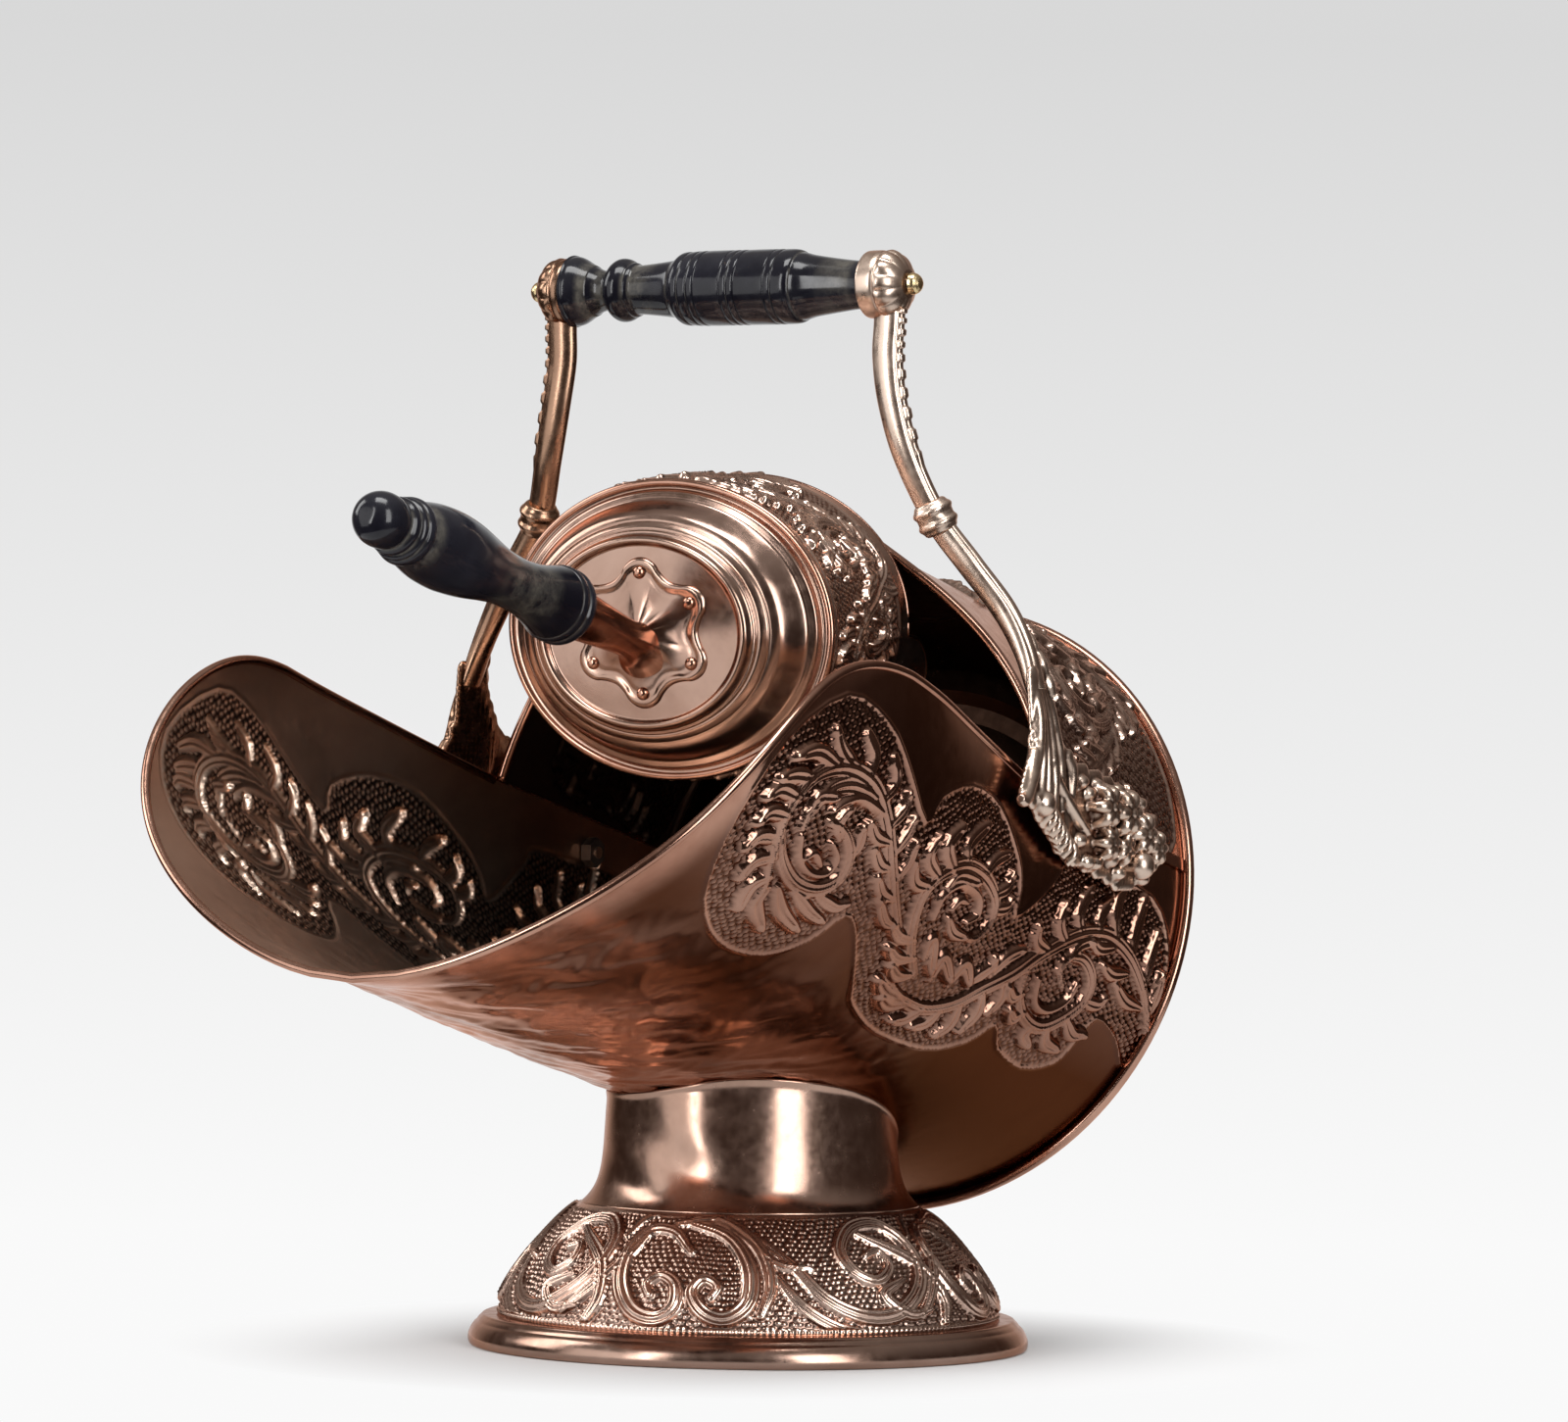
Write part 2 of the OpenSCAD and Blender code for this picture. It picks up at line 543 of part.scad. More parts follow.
module ring_wire(points, radius) {
    n = len(points);
    sides = 8;
    rings = [for (i = [0:n - 1])
        let (p = points[i], t = unit(points[(i + 1) % n] - points[(i + n - 1) % n]),
            v = unit(cross(t, [p[0], p[1], 0])), u = cross(v, t))
        [for (k = [0:sides - 1]) let (a = 360 * (k + 0.5) / sides)
            p + radius * (cos(a) * u + sin(a) * v)]];
    polyhedron(points = [for (r = rings, p = r) p],
        faces = [for (i = [0:n - 1], k = [0:sides - 1], half = [0, 1])
            let (a = i * sides + k, b = i * sides + (k + 1) % sides,
                c = ((i + 1) % n) * sides + k, d = ((i + 1) % n) * sides + (k + 1) % sides)
            half == 0 ? [a, d, b] : [a, c, d]]);
}

module scoop_back_wire() {
    cols = 48;
    color(copper) scoop_frame() ring_wire(
        [for (k = [0:cols - 1]) scoop_point(360 * k / cols, 0, scoop_sheet / 2)], scoop_wire);
}

module scoop_mouth_wire() {
    color(copper) scoop_frame() ring_wire([for (k = [-scoop_cols:scoop_cols - 1])
        let (phi = scoop_phi(k)) scoop_point(phi, blade_s(phi), scoop_sheet / 2)], scoop_wire / 2);
}

// The plate under the socket has a lobe for each rivet.
plate_t = 1.5;
rivet_x = 30.6;
rivet_y = 28.1;
module handle_plate() {
    points = 72;
    color(copper) scoop_frame() translate([0, 0, dish_top]) linear_extrude(plate_t)
        polygon([for (k = [0:points - 1])
            let (a = 360 * k / points, q = 1.12 + 0.14 * cos(rivets * a))
            [rivet_x * q * sin(a), -rivet_y * q * cos(a)]]);
}

module plate_rivets() {
    color(copper) scoop_frame() for (k = [0:rivets - 1]) {
        a = 360 * k / rivets;
        translate([rivet_x * sin(a), -rivet_y * cos(a), dish_top + plate_t]) intersection() {
            sphere(r = 3, $fn = 24);
            translate([-4, -4, 0]) cube(8);
        }
    }
}

// The handle springs from the plate a little below the scoop's axis, rising forward.
socket_low = 5.6;
tang_r = 4;
tang_in = 40;          // how far the tang reaches back into the socket
tang_out = 80;         // and on into the wood
module handle_frame() {
    scoop_frame() translate([0, -socket_low, dish_top + plate_t]) rotate([-handle_rise, 0, 0]) children();
}
module handle_socket() {
    color(copper) difference() {
        handle_frame() rotate_extrude($fn = 48)
            polygon([[0, -6], [14, -6], [11.5, 2], [9.6, 6], [8.8, 12], [12.8, socket_l], [0, socket_l]]);
        // its foot is cut flat on the plate
        scoop_frame() translate([0, 0, dish_top + plate_t - 20]) cylinder(r = 40, h = 20, $fn = 48);
        handle_frame() translate([0, 0, socket_l - tang_in - seat])
            cylinder(r = tang_r + run, h = tang_in + 1, $fn = 32);
    }
}

// Turned outline of the wooden handle: distance from the socket, and radius.
wood_turning = [[0, 15], [2, 17.4], [6, 18], [9, 17.2], [11, 18], [14, 17.6], [22, 15.2], [32, 13],
    [46, 12.2], [60, 12.9], [76, 15.2], [92, 17.7], [106, wood_r], [118, 17.8], [128, 15.8],
    [133, 14.4], [135, 15.2], [139, 15.2], [141.5, 14.2], [143, 13], [145, 13.3], [148, 12.6]];
module scoop_handle() {
    ball = 12.2;
    stretch = wood_l / 169;
    color(ebony) handle_frame() translate([0, 0, socket_l]) difference() {
        rotate_extrude($fn = 48) polygon(concat([[0, 0]],
            [for (p = wood_turning) [p[1], p[0] * stretch]],
            [for (a = [-40:13:90]) [ball * cos(a), wood_l - ball + ball * sin(a)]]));
        translate([0, 0, -1]) cylinder(r = tang_r + run, h = tang_out + 1 + seat, $fn = 32);
    }
}

module handle_tang() {
    color(steel) handle_frame() translate([0, 0, socket_l - tang_in])
        cylinder(r = tang_r, h = tang_in + tang_out, $fn = 32);
}

foot_rim();
foot_skirt();
foot_neck();
bucket();
lip_wire();
hood();
hood_wire();
back_plate();
back_rim();
seam_strap_left();
seam_strap_right();
pivot_bolt_left();
pivot_bolt_right();
pivot_nut_left();
pivot_nut_right();
bail_arm_left();
bail_arm_right();
bail_rod();
bail_nut_left();
bail_nut_right();
bail_grip();
scoop_body();
scoop_back();
scoop_back_wire();
scoop_mouth_wire();
handle_plate();
plate_rivets();
handle_socket();
scoop_handle();
handle_tang();
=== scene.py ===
import json
import math
import bpy
import numpy as np
from mathutils import Matrix, Vector


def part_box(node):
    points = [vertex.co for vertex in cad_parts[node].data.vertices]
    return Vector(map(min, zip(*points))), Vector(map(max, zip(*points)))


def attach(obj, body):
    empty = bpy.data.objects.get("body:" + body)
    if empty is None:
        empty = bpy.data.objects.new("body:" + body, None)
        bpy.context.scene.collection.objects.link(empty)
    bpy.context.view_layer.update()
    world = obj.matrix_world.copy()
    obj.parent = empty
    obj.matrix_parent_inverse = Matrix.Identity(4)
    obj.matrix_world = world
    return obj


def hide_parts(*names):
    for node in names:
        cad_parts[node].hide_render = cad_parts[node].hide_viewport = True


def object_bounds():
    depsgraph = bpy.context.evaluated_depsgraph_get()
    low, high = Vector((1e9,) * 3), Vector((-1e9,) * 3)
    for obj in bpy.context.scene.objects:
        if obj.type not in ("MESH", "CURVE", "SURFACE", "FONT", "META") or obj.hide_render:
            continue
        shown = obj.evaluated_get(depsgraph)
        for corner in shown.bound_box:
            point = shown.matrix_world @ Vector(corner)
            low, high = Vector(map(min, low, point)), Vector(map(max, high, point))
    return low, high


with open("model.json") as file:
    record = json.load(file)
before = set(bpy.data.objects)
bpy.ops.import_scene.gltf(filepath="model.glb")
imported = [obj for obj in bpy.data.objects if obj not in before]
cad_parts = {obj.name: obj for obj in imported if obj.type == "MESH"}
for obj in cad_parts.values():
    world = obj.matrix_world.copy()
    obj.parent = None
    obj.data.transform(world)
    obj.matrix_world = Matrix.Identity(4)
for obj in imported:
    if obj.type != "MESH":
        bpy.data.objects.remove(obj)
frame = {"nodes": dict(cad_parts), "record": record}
cad_box = [list(v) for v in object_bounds()]
scene = bpy.context.scene
scene.view_settings.view_transform = "Standard"

# ---------------------------------------------------------------- camera, fitted to the photograph
# W and H are the photograph's pixels, F_PX the focal length in pixels; DIST and TARGET are in millimetres
W, H = 1600, 1451
AZ, EL, ROLL = map(math.radians, (30.24, -0.23, 0.82))
DIST, F_PX = 3334.92, 7160.65
TARGET = np.array((11.15, 6.46, 301.4))
SENSOR = 36
back = np.array((math.sin(AZ) * math.cos(EL), -math.cos(AZ) * math.cos(EL), math.sin(EL)))
right = np.cross(-back, (0, 0, 1))
right /= np.linalg.norm(right)
up = np.cross(right, -back)
cam_x = right * math.cos(ROLL) + up * math.sin(ROLL)
cam_y = -right * math.sin(ROLL) + up * math.cos(ROLL)
cam_pos = TARGET + back * DIST


def project(p):
    """Pixel of each point p, in millimetres, in the photograph's 1600 x 1451 frame."""
    d = np.asarray(p, float) - cam_pos
    z = d @ -back
    return np.stack([W / 2 + F_PX * (d @ cam_x) / z, H / 2 - F_PX * (d @ cam_y) / z], -1)


cam = bpy.data.objects.new("camera", bpy.data.cameras.new("camera"))
scene.collection.objects.link(cam)
cam.data.sensor_width = SENSOR
cam.data.lens = SENSOR * F_PX / W
cam.data.clip_end = 50
m = Matrix.Identity(4)
for i in range(3):
    m[i][0], m[i][1], m[i][2], m[i][3] = cam_x[i], cam_y[i], back[i], cam_pos[i] / 1000
cam.matrix_world = m
scene.camera = cam


# ---------------------------------------------------------------- materials
def new_mat(name):
    mat = bpy.data.materials.new(name)
    mat.use_nodes = True
    nt = mat.node_tree
    return mat, nt, nt.nodes["Principled BSDF"]


def node(nt, kind, **kw):
    n = nt.nodes.new(kind)
    for k, v in kw.items():
        if k == "inputs":
            for name, val in v.items():
                n.inputs[name].default_value = val
        else:
            setattr(n, k, v)
    return n


def ramp(nt, fac, stops):
    r = node(nt, "ShaderNodeValToRGB")
    els = r.color_ramp.elements
    while len(els) < len(stops):
        els.new(1)
    for e, (pos, col) in zip(els, stops):
        e.position = pos
        e.color = (*col, 1)
    nt.links.new(fac, r.inputs["Fac"])
    return r.outputs["Color"]


def coords(nt):
    for n in nt.nodes:
        if n.type == "TEX_COORD":
            return n.outputs["Object"]
    return node(nt, "ShaderNodeTexCoord").outputs["Object"]


def noise(nt, scale, detail=4, rough=0.6, distort=0.0):
    values = {"Scale": scale, "Detail": detail, "Roughness": rough, "Distortion": distort}
    n = node(nt, "ShaderNodeTexNoise", inputs=values)
    nt.links.new(coords(nt), n.inputs["Vector"])
    return n.outputs["Fac"]


def mix(nt, fac, a, b):
    """The colour a where fac is 0 and b where it is 1; each colour is a tuple or a socket."""
    n = node(nt, "ShaderNodeMix", data_type="RGBA")
    for sock, val in ((n.inputs[0], fac), (n.inputs[6], a), (n.inputs[7], b)):
        if isinstance(val, tuple):
            sock.default_value = (*val, 1)
        else:
            nt.links.new(val, sock)
    return n.outputs[2]


def span(nt, fac, a, b, lo=0.0, hi=1.0):
    """Turns lo to hi into a to b."""
    n = node(nt, "ShaderNodeMapRange", inputs={"From Min": lo, "From Max": hi, "To Min": a, "To Max": b})
    nt.links.new(fac, n.inputs["Value"])
    return n.outputs["Result"]


def bump(nt, height, strength, dist):
    n = node(nt, "ShaderNodeBump", inputs={"Strength": strength, "Distance": dist})
    nt.links.new(height, n.inputs["Height"])
    return n.outputs["Normal"]


# tarnish with painted shade: the colour the bucket wall takes where it is marked darker low down
TARNISH_SHADE_COLOUR = (0.040, 0.0115, 0.006)
EDGE_TINT = (0.9, 0.64, 0.54, 1)


def metal(name, light, dark, deep, rough=(0.16, 0.30), scale=9.0, bump_h=0.0006, waves=(26, 0.35),
          inner=None):
    """Old polished metal: colour clouds, a dark film in the recesses, fine scratches, shallow ripples."""
    mat, nt, b = new_mat(name)
    L = nt.links.new
    b.inputs["Metallic"].default_value = 1.0
    b.inputs["Specular Tint"].default_value = EDGE_TINT
    cloud = noise(nt, scale, 5, 0.62, 0.4)
    col = ramp(nt, cloud, [(0.30, dark), (0.62, light)])
    blot = noise(nt, scale * 4.3, 6, 0.7, 0.2)
    col = mix(nt, span(nt, blot, 0.0, 0.35, 0.55, 0.75), col, dark)
    if inner:
        # painted shade: the side that faces the bucket's inside gets its own, darker colour
        side = node(nt, "ShaderNodeSeparateXYZ")
        L(node(nt, "ShaderNodeNewGeometry").outputs["Normal"], side.inputs[0])
        col = mix(nt, span(nt, side.outputs["Y"], 1, 0, -0.2, 0.1), col, inner)
    # painted shade with tarnish where the wall is marked, and a dark film in the recesses
    for mark_name, shade in (("tarnish_and_shade", TARNISH_SHADE_COLOUR), ("recess", deep)):
        at = node(nt, "ShaderNodeAttribute", attribute_name=mark_name)
        col = mix(nt, at.outputs["Fac"], col, shade)
    L(col, b.inputs["Base Color"])
    fine = noise(nt, 160, 3, 0.6)
    L(span(nt, fine, rough[0], rough[1], 0.3, 0.7), b.inputs["Roughness"])
    wave = noise(nt, waves[0], 2, 0.5, 0.3)
    L(bump(nt, wave, waves[1], bump_h), b.inputs["Normal"])
    return mat


COPPER = metal("copper", (0.50, 0.295, 0.22), (0.27, 0.13, 0.09), (0.07, 0.032, 0.022), (0.13, 0.23))
SATIN = metal("copper_satin", (0.39, 0.265, 0.212), (0.25, 0.15, 0.11), (0.11, 0.06, 0.045), (0.15, 0.26))
# painted light: a paler, lighter copy of the copper for the hood, the scoop's band and the foot's skirt,
# which show brighter
COPPER_PAINTED_LIGHT = metal("copper_painted_light", (0.66, 0.485, 0.40), (0.46, 0.31, 0.245), (0.19, 0.115, 0.09), (0.16, 0.28))
DENTED = metal("copper_dented", (0.44, 0.295, 0.232), (0.28, 0.17, 0.125), (0.15, 0.085, 0.065),
               (0.17, 0.28), bump_h=0.002, waves=(15, 0.5))
# painted light: a lighter copper for the inner faces of the bucket and the scoop's band, which brightens
# their dim insides
INSIDE_PAINTED_LIGHT = metal("copper_inside_painted_light", (0.62, 0.46, 0.36), (0.47, 0.33, 0.25), (0.07, 0.05, 0.04), (0.30, 0.35))
# painted shade: near-black copper for the hood's inner face
COPPER_PAINTED_SHADE = metal("copper_painted_shade", (0.075, 0.05, 0.04), (0.04, 0.028, 0.022), (0.02, 0.015, 0.012), (0.4, 0.55))
# painted shade: the plate's face towards the bucket's inside is coloured near black
PLATE = metal("copper_plate", (0.58, 0.35, 0.265), (0.37, 0.185, 0.13), (0.15, 0.07, 0.05),
              (0.14, 0.28), inner=(0.035, 0.018, 0.012))
BRONZE = metal("cast_bronze", (0.66, 0.53, 0.44), (0.48, 0.36, 0.285), (0.10, 0.06, 0.045),
               (0.24, 0.38), scale=16, bump_h=0.0002)
BRONZE_DARK = metal("cast_bronze_left", (0.36, 0.22, 0.145), (0.22, 0.13, 0.09), (0.10, 0.06, 0.04),
                    (0.2, 0.32), scale=16, bump_h=0.0002)
YELLOW = metal("yellow_brass", (0.76, 0.62, 0.36), (0.60, 0.45, 0.24), (0.2, 0.13, 0.06), scale=30)
STEEL = metal("dull_steel", (0.32, 0.30, 0.28), (0.18, 0.16, 0.15), (0.05, 0.045, 0.04), (0.4, 0.6))


def ebony(name):
    """Black polish over turned wood, worn pale in the grooves, with a few brown chips."""
    mat, nt, b = new_mat(name)
    L = nt.links.new
    n = noise(nt, 30, 5, 0.6)
    black = ramp(nt, n, [(0.35, (0.004, 0.004, 0.007)), (0.75, (0.016, 0.016, 0.022))])
    at = node(nt, "ShaderNodeAttribute", attribute_name="recess")
    worn = node(nt, "ShaderNodeMath", operation="MULTIPLY")
    L(at.outputs["Fac"], worn.inputs[0])
    L(span(nt, noise(nt, 70, 5, 0.7), 0.0, 0.9, 0.38, 0.62), worn.inputs[1])
    black = mix(nt, worn.outputs[0], black, (0.085, 0.078, 0.066))
    chips = span(nt, noise(nt, 55, 6, 0.75, 0.6), 0.0, 1.0, 0.66, 0.70)
    L(mix(nt, chips, black, (0.035, 0.025, 0.02)), b.inputs["Base Color"])
    L(span(nt, noise(nt, 90, 4, 0.6), 0.10, 0.24, 0.35, 0.7), b.inputs["Roughness"])
    b.inputs["Specular IOR Level"].default_value = 0.3
    L(bump(nt, noise(nt, 120, 3, 0.5), 0.1, 0.0004), b.inputs["Normal"])
    b.inputs["Coat Weight"].default_value = 0.1
    b.inputs["Coat Roughness"].default_value = 0.08
    return mat


EBONY = ebony("ebonised_wood")
BY_SLOT = {"copper": COPPER, "dark_copper": COPPER, "bronze": BRONZE, "yellow_brass": YELLOW,
           "ebonised_wood": EBONY, "steel": STEEL}
for part in frame["record"]["subparts"]:
    o = frame["nodes"][part["node"]]
    o.data.materials.clear()
    o.data.materials.append(PLATE if part["node"] == "back_plate" else BY_SLOT[part["material_slot"]])
    o.data.polygons.foreach_set("use_smooth", [True] * len(o.data.polygons))
    o.data.set_sharp_from_angle(angle=math.radians(35))


# ---------------------------------------------------------------- mesh tools (millimetres)
def mark(mesh, name, values):
    """Stores a number at each vertex, which the materials read by its name."""
    at = mesh.attributes.new(name, "FLOAT", "POINT")
    at.data.foreach_set("value", np.asarray(values, np.float32).ravel())


def make(name, verts, quads, mats, body, nodes=(), recess=None, mat_index=None):
    """An object that rides a body and stands for the CAD nodes it replaces."""
    verts = np.asarray(verts, np.float32).reshape(-1, 3) / 1000
    quads = np.asarray(quads, np.int32)
    # faces turned outwards: seen from the middle, their areas point away
    corners = verts[quads] - verts.mean(0)
    area = np.cross(corners[:, 2] - corners[:, 0], corners[:, 3] - corners[:, 1])
    if (corners.mean(1) * area).sum() < 0:
        quads = quads[:, ::-1]
    me = bpy.data.meshes.new(name)
    me.vertices.add(len(verts))
    me.vertices.foreach_set("co", verts.ravel())
    me.loops.add(quads.size)
    me.loops.foreach_set("vertex_index", quads.ravel())
    me.polygons.add(len(quads))
    me.polygons.foreach_set("loop_start", np.arange(0, quads.size, 4, dtype=np.int32))
    me.polygons.foreach_set("use_smooth", np.ones(len(quads), bool))
    for mt in mats if isinstance(mats, tuple) else (mats,):
        me.materials.append(mt)
    if mat_index is not None:
        me.polygons.foreach_set("material_index", np.asarray(mat_index, np.int32))
    me.update(calc_edges=True)
    me.validate()
    if recess is not None:
        mark(me, "recess", recess)
    o = bpy.data.objects.new(name, me)
    scene.collection.objects.link(o)
    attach(o, body)
    if nodes:
        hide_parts(*nodes)
    return o


def quad_grid(n, m, wrap=False, start=0):
    """Faces of an n x m grid of vertices; wrap joins the last column to the first."""
    row = np.arange(n - 1)[:, None] * m + start
    j = np.arange(m if wrap else m - 1)[None, :]
    j2 = (j + 1) % m
    return np.stack([row + j, row + j2, row + m + j2, row + m + j], -1).reshape(-1, 4)


def sheet_faces(n, m, wrap):
    """Outer grid, inner grid and the strips that close their edges."""
    N = n * m

    def strip(idx):
        return np.stack([idx[:-1], idx[1:], idx[1:] + N, idx[:-1] + N], -1)
    first = np.append(np.arange(m), 0) if wrap else np.arange(m)
    last = first + (n - 1) * m
    q = [quad_grid(n, m, wrap), quad_grid(n, m, wrap, N)[:, ::-1], strip(first)[:, ::-1], strip(last)]
    if not wrap:
        q += [strip(np.arange(n) * m), strip(np.arange(n) * m + m - 1)[:, ::-1]]
    return np.concatenate(q)


def sheet_piece(name, outer, inner, mats, body, node_name, recess=None, wrap=False):
    """A copper sheet from the grids of its two faces; a second material goes on the inner face."""
    n, m = outer.shape[:2]
    verts = np.concatenate([outer.reshape(-1, 3), inner.reshape(-1, 3)])
    faces = sheet_faces(n, m, wrap)
    count = (n - 1) * (m if wrap else m - 1)
    inner_side = np.zeros(len(faces), int)
    if isinstance(mats, tuple):
        inner_side[count:2 * count] = 1
    film = None if recess is None else np.tile(recess.ravel(), 2)
    return make(name, verts, faces, mats, body, (node_name,), film, inner_side)


def smooth_line(points, per=8, closed=False):
    """Catmull-Rom curve through the points."""
    p = np.asarray(points, float)
    if closed:
        p = np.concatenate([p[-1:], p, p[:2]])
    else:
        p = np.concatenate([2 * p[:1] - p[1:2], p, 2 * p[-1:] - p[-2:-1]])
    t = (np.arange(per) / per)[:, None]
    out = []
    for a, b, c, d in zip(p[:-3], p[1:-2], p[2:-1], p[3:]):
        square = (2 * a - 5 * b + 4 * c - d) * t ** 2
        cube = (3 * b - a - 3 * c + d) * t ** 3
        out.append(0.5 * (2 * b + (c - a) * t + square + cube))
    if not closed:
        out.append(p[-2:-1])
    return np.concatenate(out)


def unit(v):
    return v / (np.linalg.norm(v, axis=-1, keepdims=True) + 1e-12)


def xyz(x, y, z):
    """Points from three coordinates, each a number or an array."""
    return np.stack(np.broadcast_arrays(x, y, z), -1)


def sweep(path, half, hint, sides=20, closed=False, offset=None):
    """Rings of an ellipse (half widths along hint and across it) on a path; offset(t, a) moves them out."""
    path = np.asarray(path, float)
    n = len(path)
    tan = np.gradient(path, axis=0) if not closed else np.roll(path, -1, 0) - np.roll(path, 1, 0)
    tan = unit(tan)
    hint = np.broadcast_to(np.asarray(hint, float), path.shape)
    u = unit(hint - (hint * tan).sum(-1, keepdims=True) * tan)
    v = np.cross(tan, u)
    a = np.linspace(0, 2 * np.pi, sides, endpoint=False)[None, :, None]
    half = np.broadcast_to(np.asarray(half, float), (n, 2))[:, None, :]
    ring = path[:, None] + np.cos(a) * half[..., :1] * u[:, None] + np.sin(a) * half[..., 1:] * v[:, None]
    if offset is not None:
        out = unit(np.cos(a) * u[:, None] / half[..., :1] + np.sin(a) * v[:, None] / half[..., 1:])
        ring = ring + out * offset(np.linspace(0, 1, n)[:, None], a[..., 0])[..., None]
    return ring


def tube(ring):
    """Vertices and faces of a tube whose ends are closed onto their middles."""
    ends = [np.broadcast_to(r.mean(1, keepdims=True), r.shape) for r in (ring[:1], ring[-1:])]
    v = np.concatenate([ends[0], ring, ends[1]])
    return v.reshape(-1, 3), quad_grid(len(v), ring.shape[1], True)


def hoop(ring):
    """Vertices and faces of a tube whose last ring joins its first."""
    n, sides = ring.shape[:2]
    return ring.reshape(-1, 3), quad_grid(n + 1, sides, True) % (n * sides)


def bead(name, path, r, hint, body, node_name, sides=20, closed=False):
    """A round copper wire along a path."""
    ring = sweep(path, (r, r), hint, sides, closed)
    verts, faces = hoop(ring) if closed else tube(ring)
    return make(name, verts, faces, COPPER, body, (node_name,))


def lathe_rings(profile, sides=96):
    """Rings about +Z of (radius, height) pairs."""
    p = np.asarray(profile, float)
    a = np.linspace(0, 2 * np.pi, sides, endpoint=False)
    return xyz(p[:, None, 0] * np.cos(a), p[:, None, 0] * np.sin(a), p[:, None, 1])


def lathe(name, profile, place, mat, body, nodes=(), sides=96, per=6, closed=False, grooves=False,
          wobble=None):
    """A turned piece; grooves marks its narrow places as recesses, wobble reshapes its rings."""
    p = smooth_line(profile, per, closed)
    rings = lathe_rings(p, sides)
    if wobble is not None:
        rings = wobble(rings)
    recess = None
    if grooves:
        r = p[:, 0]
        wide = np.convolve(np.pad(r, 6, mode="edge"), np.ones(13) / 13, "valid")
        recess = np.repeat(clamp01((wide - r) / 0.35 * (r > 8)), sides)
    verts, faces = hoop(rings)
    if not closed:
        faces = quad_grid(len(rings), sides, True)
    return make(name, place(verts), faces, mat, body, nodes, recess)


def clamp01(t):
    return np.clip(t, 0, 1)


def ease(t):
    c = clamp01(t)
    return c * c * (3 - 2 * c)


def bell(x, middle, width):
    return np.exp(-((x - middle) / width) ** 2)


def around(a, r, z):
    """Points at an angle in degrees from -Y towards +X, a radius and a height."""
    a = np.radians(a)
    return xyz(r * np.sin(a), -r * np.cos(a), z)


# ---------------------------------------------------------------- the bucket's own frame
# Places on the bucket are an angle phi from its underside and a distance s along its axis from the back
# plate, whose middle is at BACK_Y and BACK_Z. The lip reaches LIP_REACH below; its side edges start at EAR_S
# and EDGE_BACK and widen to EDGE_LOBE at the lobes. FLAT_R turns angles into flat millimetres.
TUBE_R, SHEET, TILT = 148, 1.2, math.radians(13)
BACK_Y, BACK_Z = 157, 206.3
LOBE_AT, LIP_REACH, EDGE_BACK, EDGE_LOBE, EAR_S = 325, 480, 99, 103, 163
FLAT_R = 150
SHOWS_INSIDE = 0.8         # the share of the relief's height that shows on the sheet's inner face


def to_row(p):
    """From the bucket's own frame, with its axis along Z, to the shared one."""
    p = np.asarray(p, float)
    return xyz(p[..., 0], BACK_Y + p[..., 1] * math.sin(TILT) - p[..., 2] * math.cos(TILT),
               BACK_Z + p[..., 1] * math.cos(TILT) + p[..., 2] * math.sin(TILT))


def tube_point(phi, s, r):
    return to_row(around(phi, r, s))


def widening(s):
    """How far the bucket's sides stand out beyond a plain tube."""
    return 19 * ease((s - 100) / 200)


def bucket_r(phi, s):
    """The outer radius: narrower below, wider at the sides, swollen at the lip, hollow over the foot."""
    w = ((1 - np.cos(np.radians(1.8 * np.minimum(abs(phi), 100)))) / 2) ** 1.6
    r = TUBE_R - 16 * clamp01(s / LIP_REACH) ** 0.7 * (1 - w) + widening(s) * w
    r = r + 6 * np.exp(-((abs(phi) - EDGE_LOBE) / 14) ** 2 - ((s - LOBE_AT) / 55) ** 2)
    r = r + 4.5 * bell(phi, 0, 38) * ease((s - 430) / 50)
    return r - 13.5 * np.exp(-((phi - 10) / 21) ** 2 - ((s - 180) / 62) ** 2)


def edge_phi(s):
    return EDGE_BACK + (EDGE_LOBE - EDGE_BACK) * clamp01((s - EAR_S) / (LOBE_AT - EAR_S))


def lip_s(t):
    """How far the lip reaches, at a share t (-1 to 1) of the way from its middle to the edges."""
    return LOBE_AT + (LIP_REACH - LOBE_AT) * (1 - abs(t) ** 2.13) ** (1 / 2.5)


def tuck(s):
    """How far the inner face drops beside the back plate, so that no slit shows."""
    return 1.3 * clamp01((5 - s) / 2)


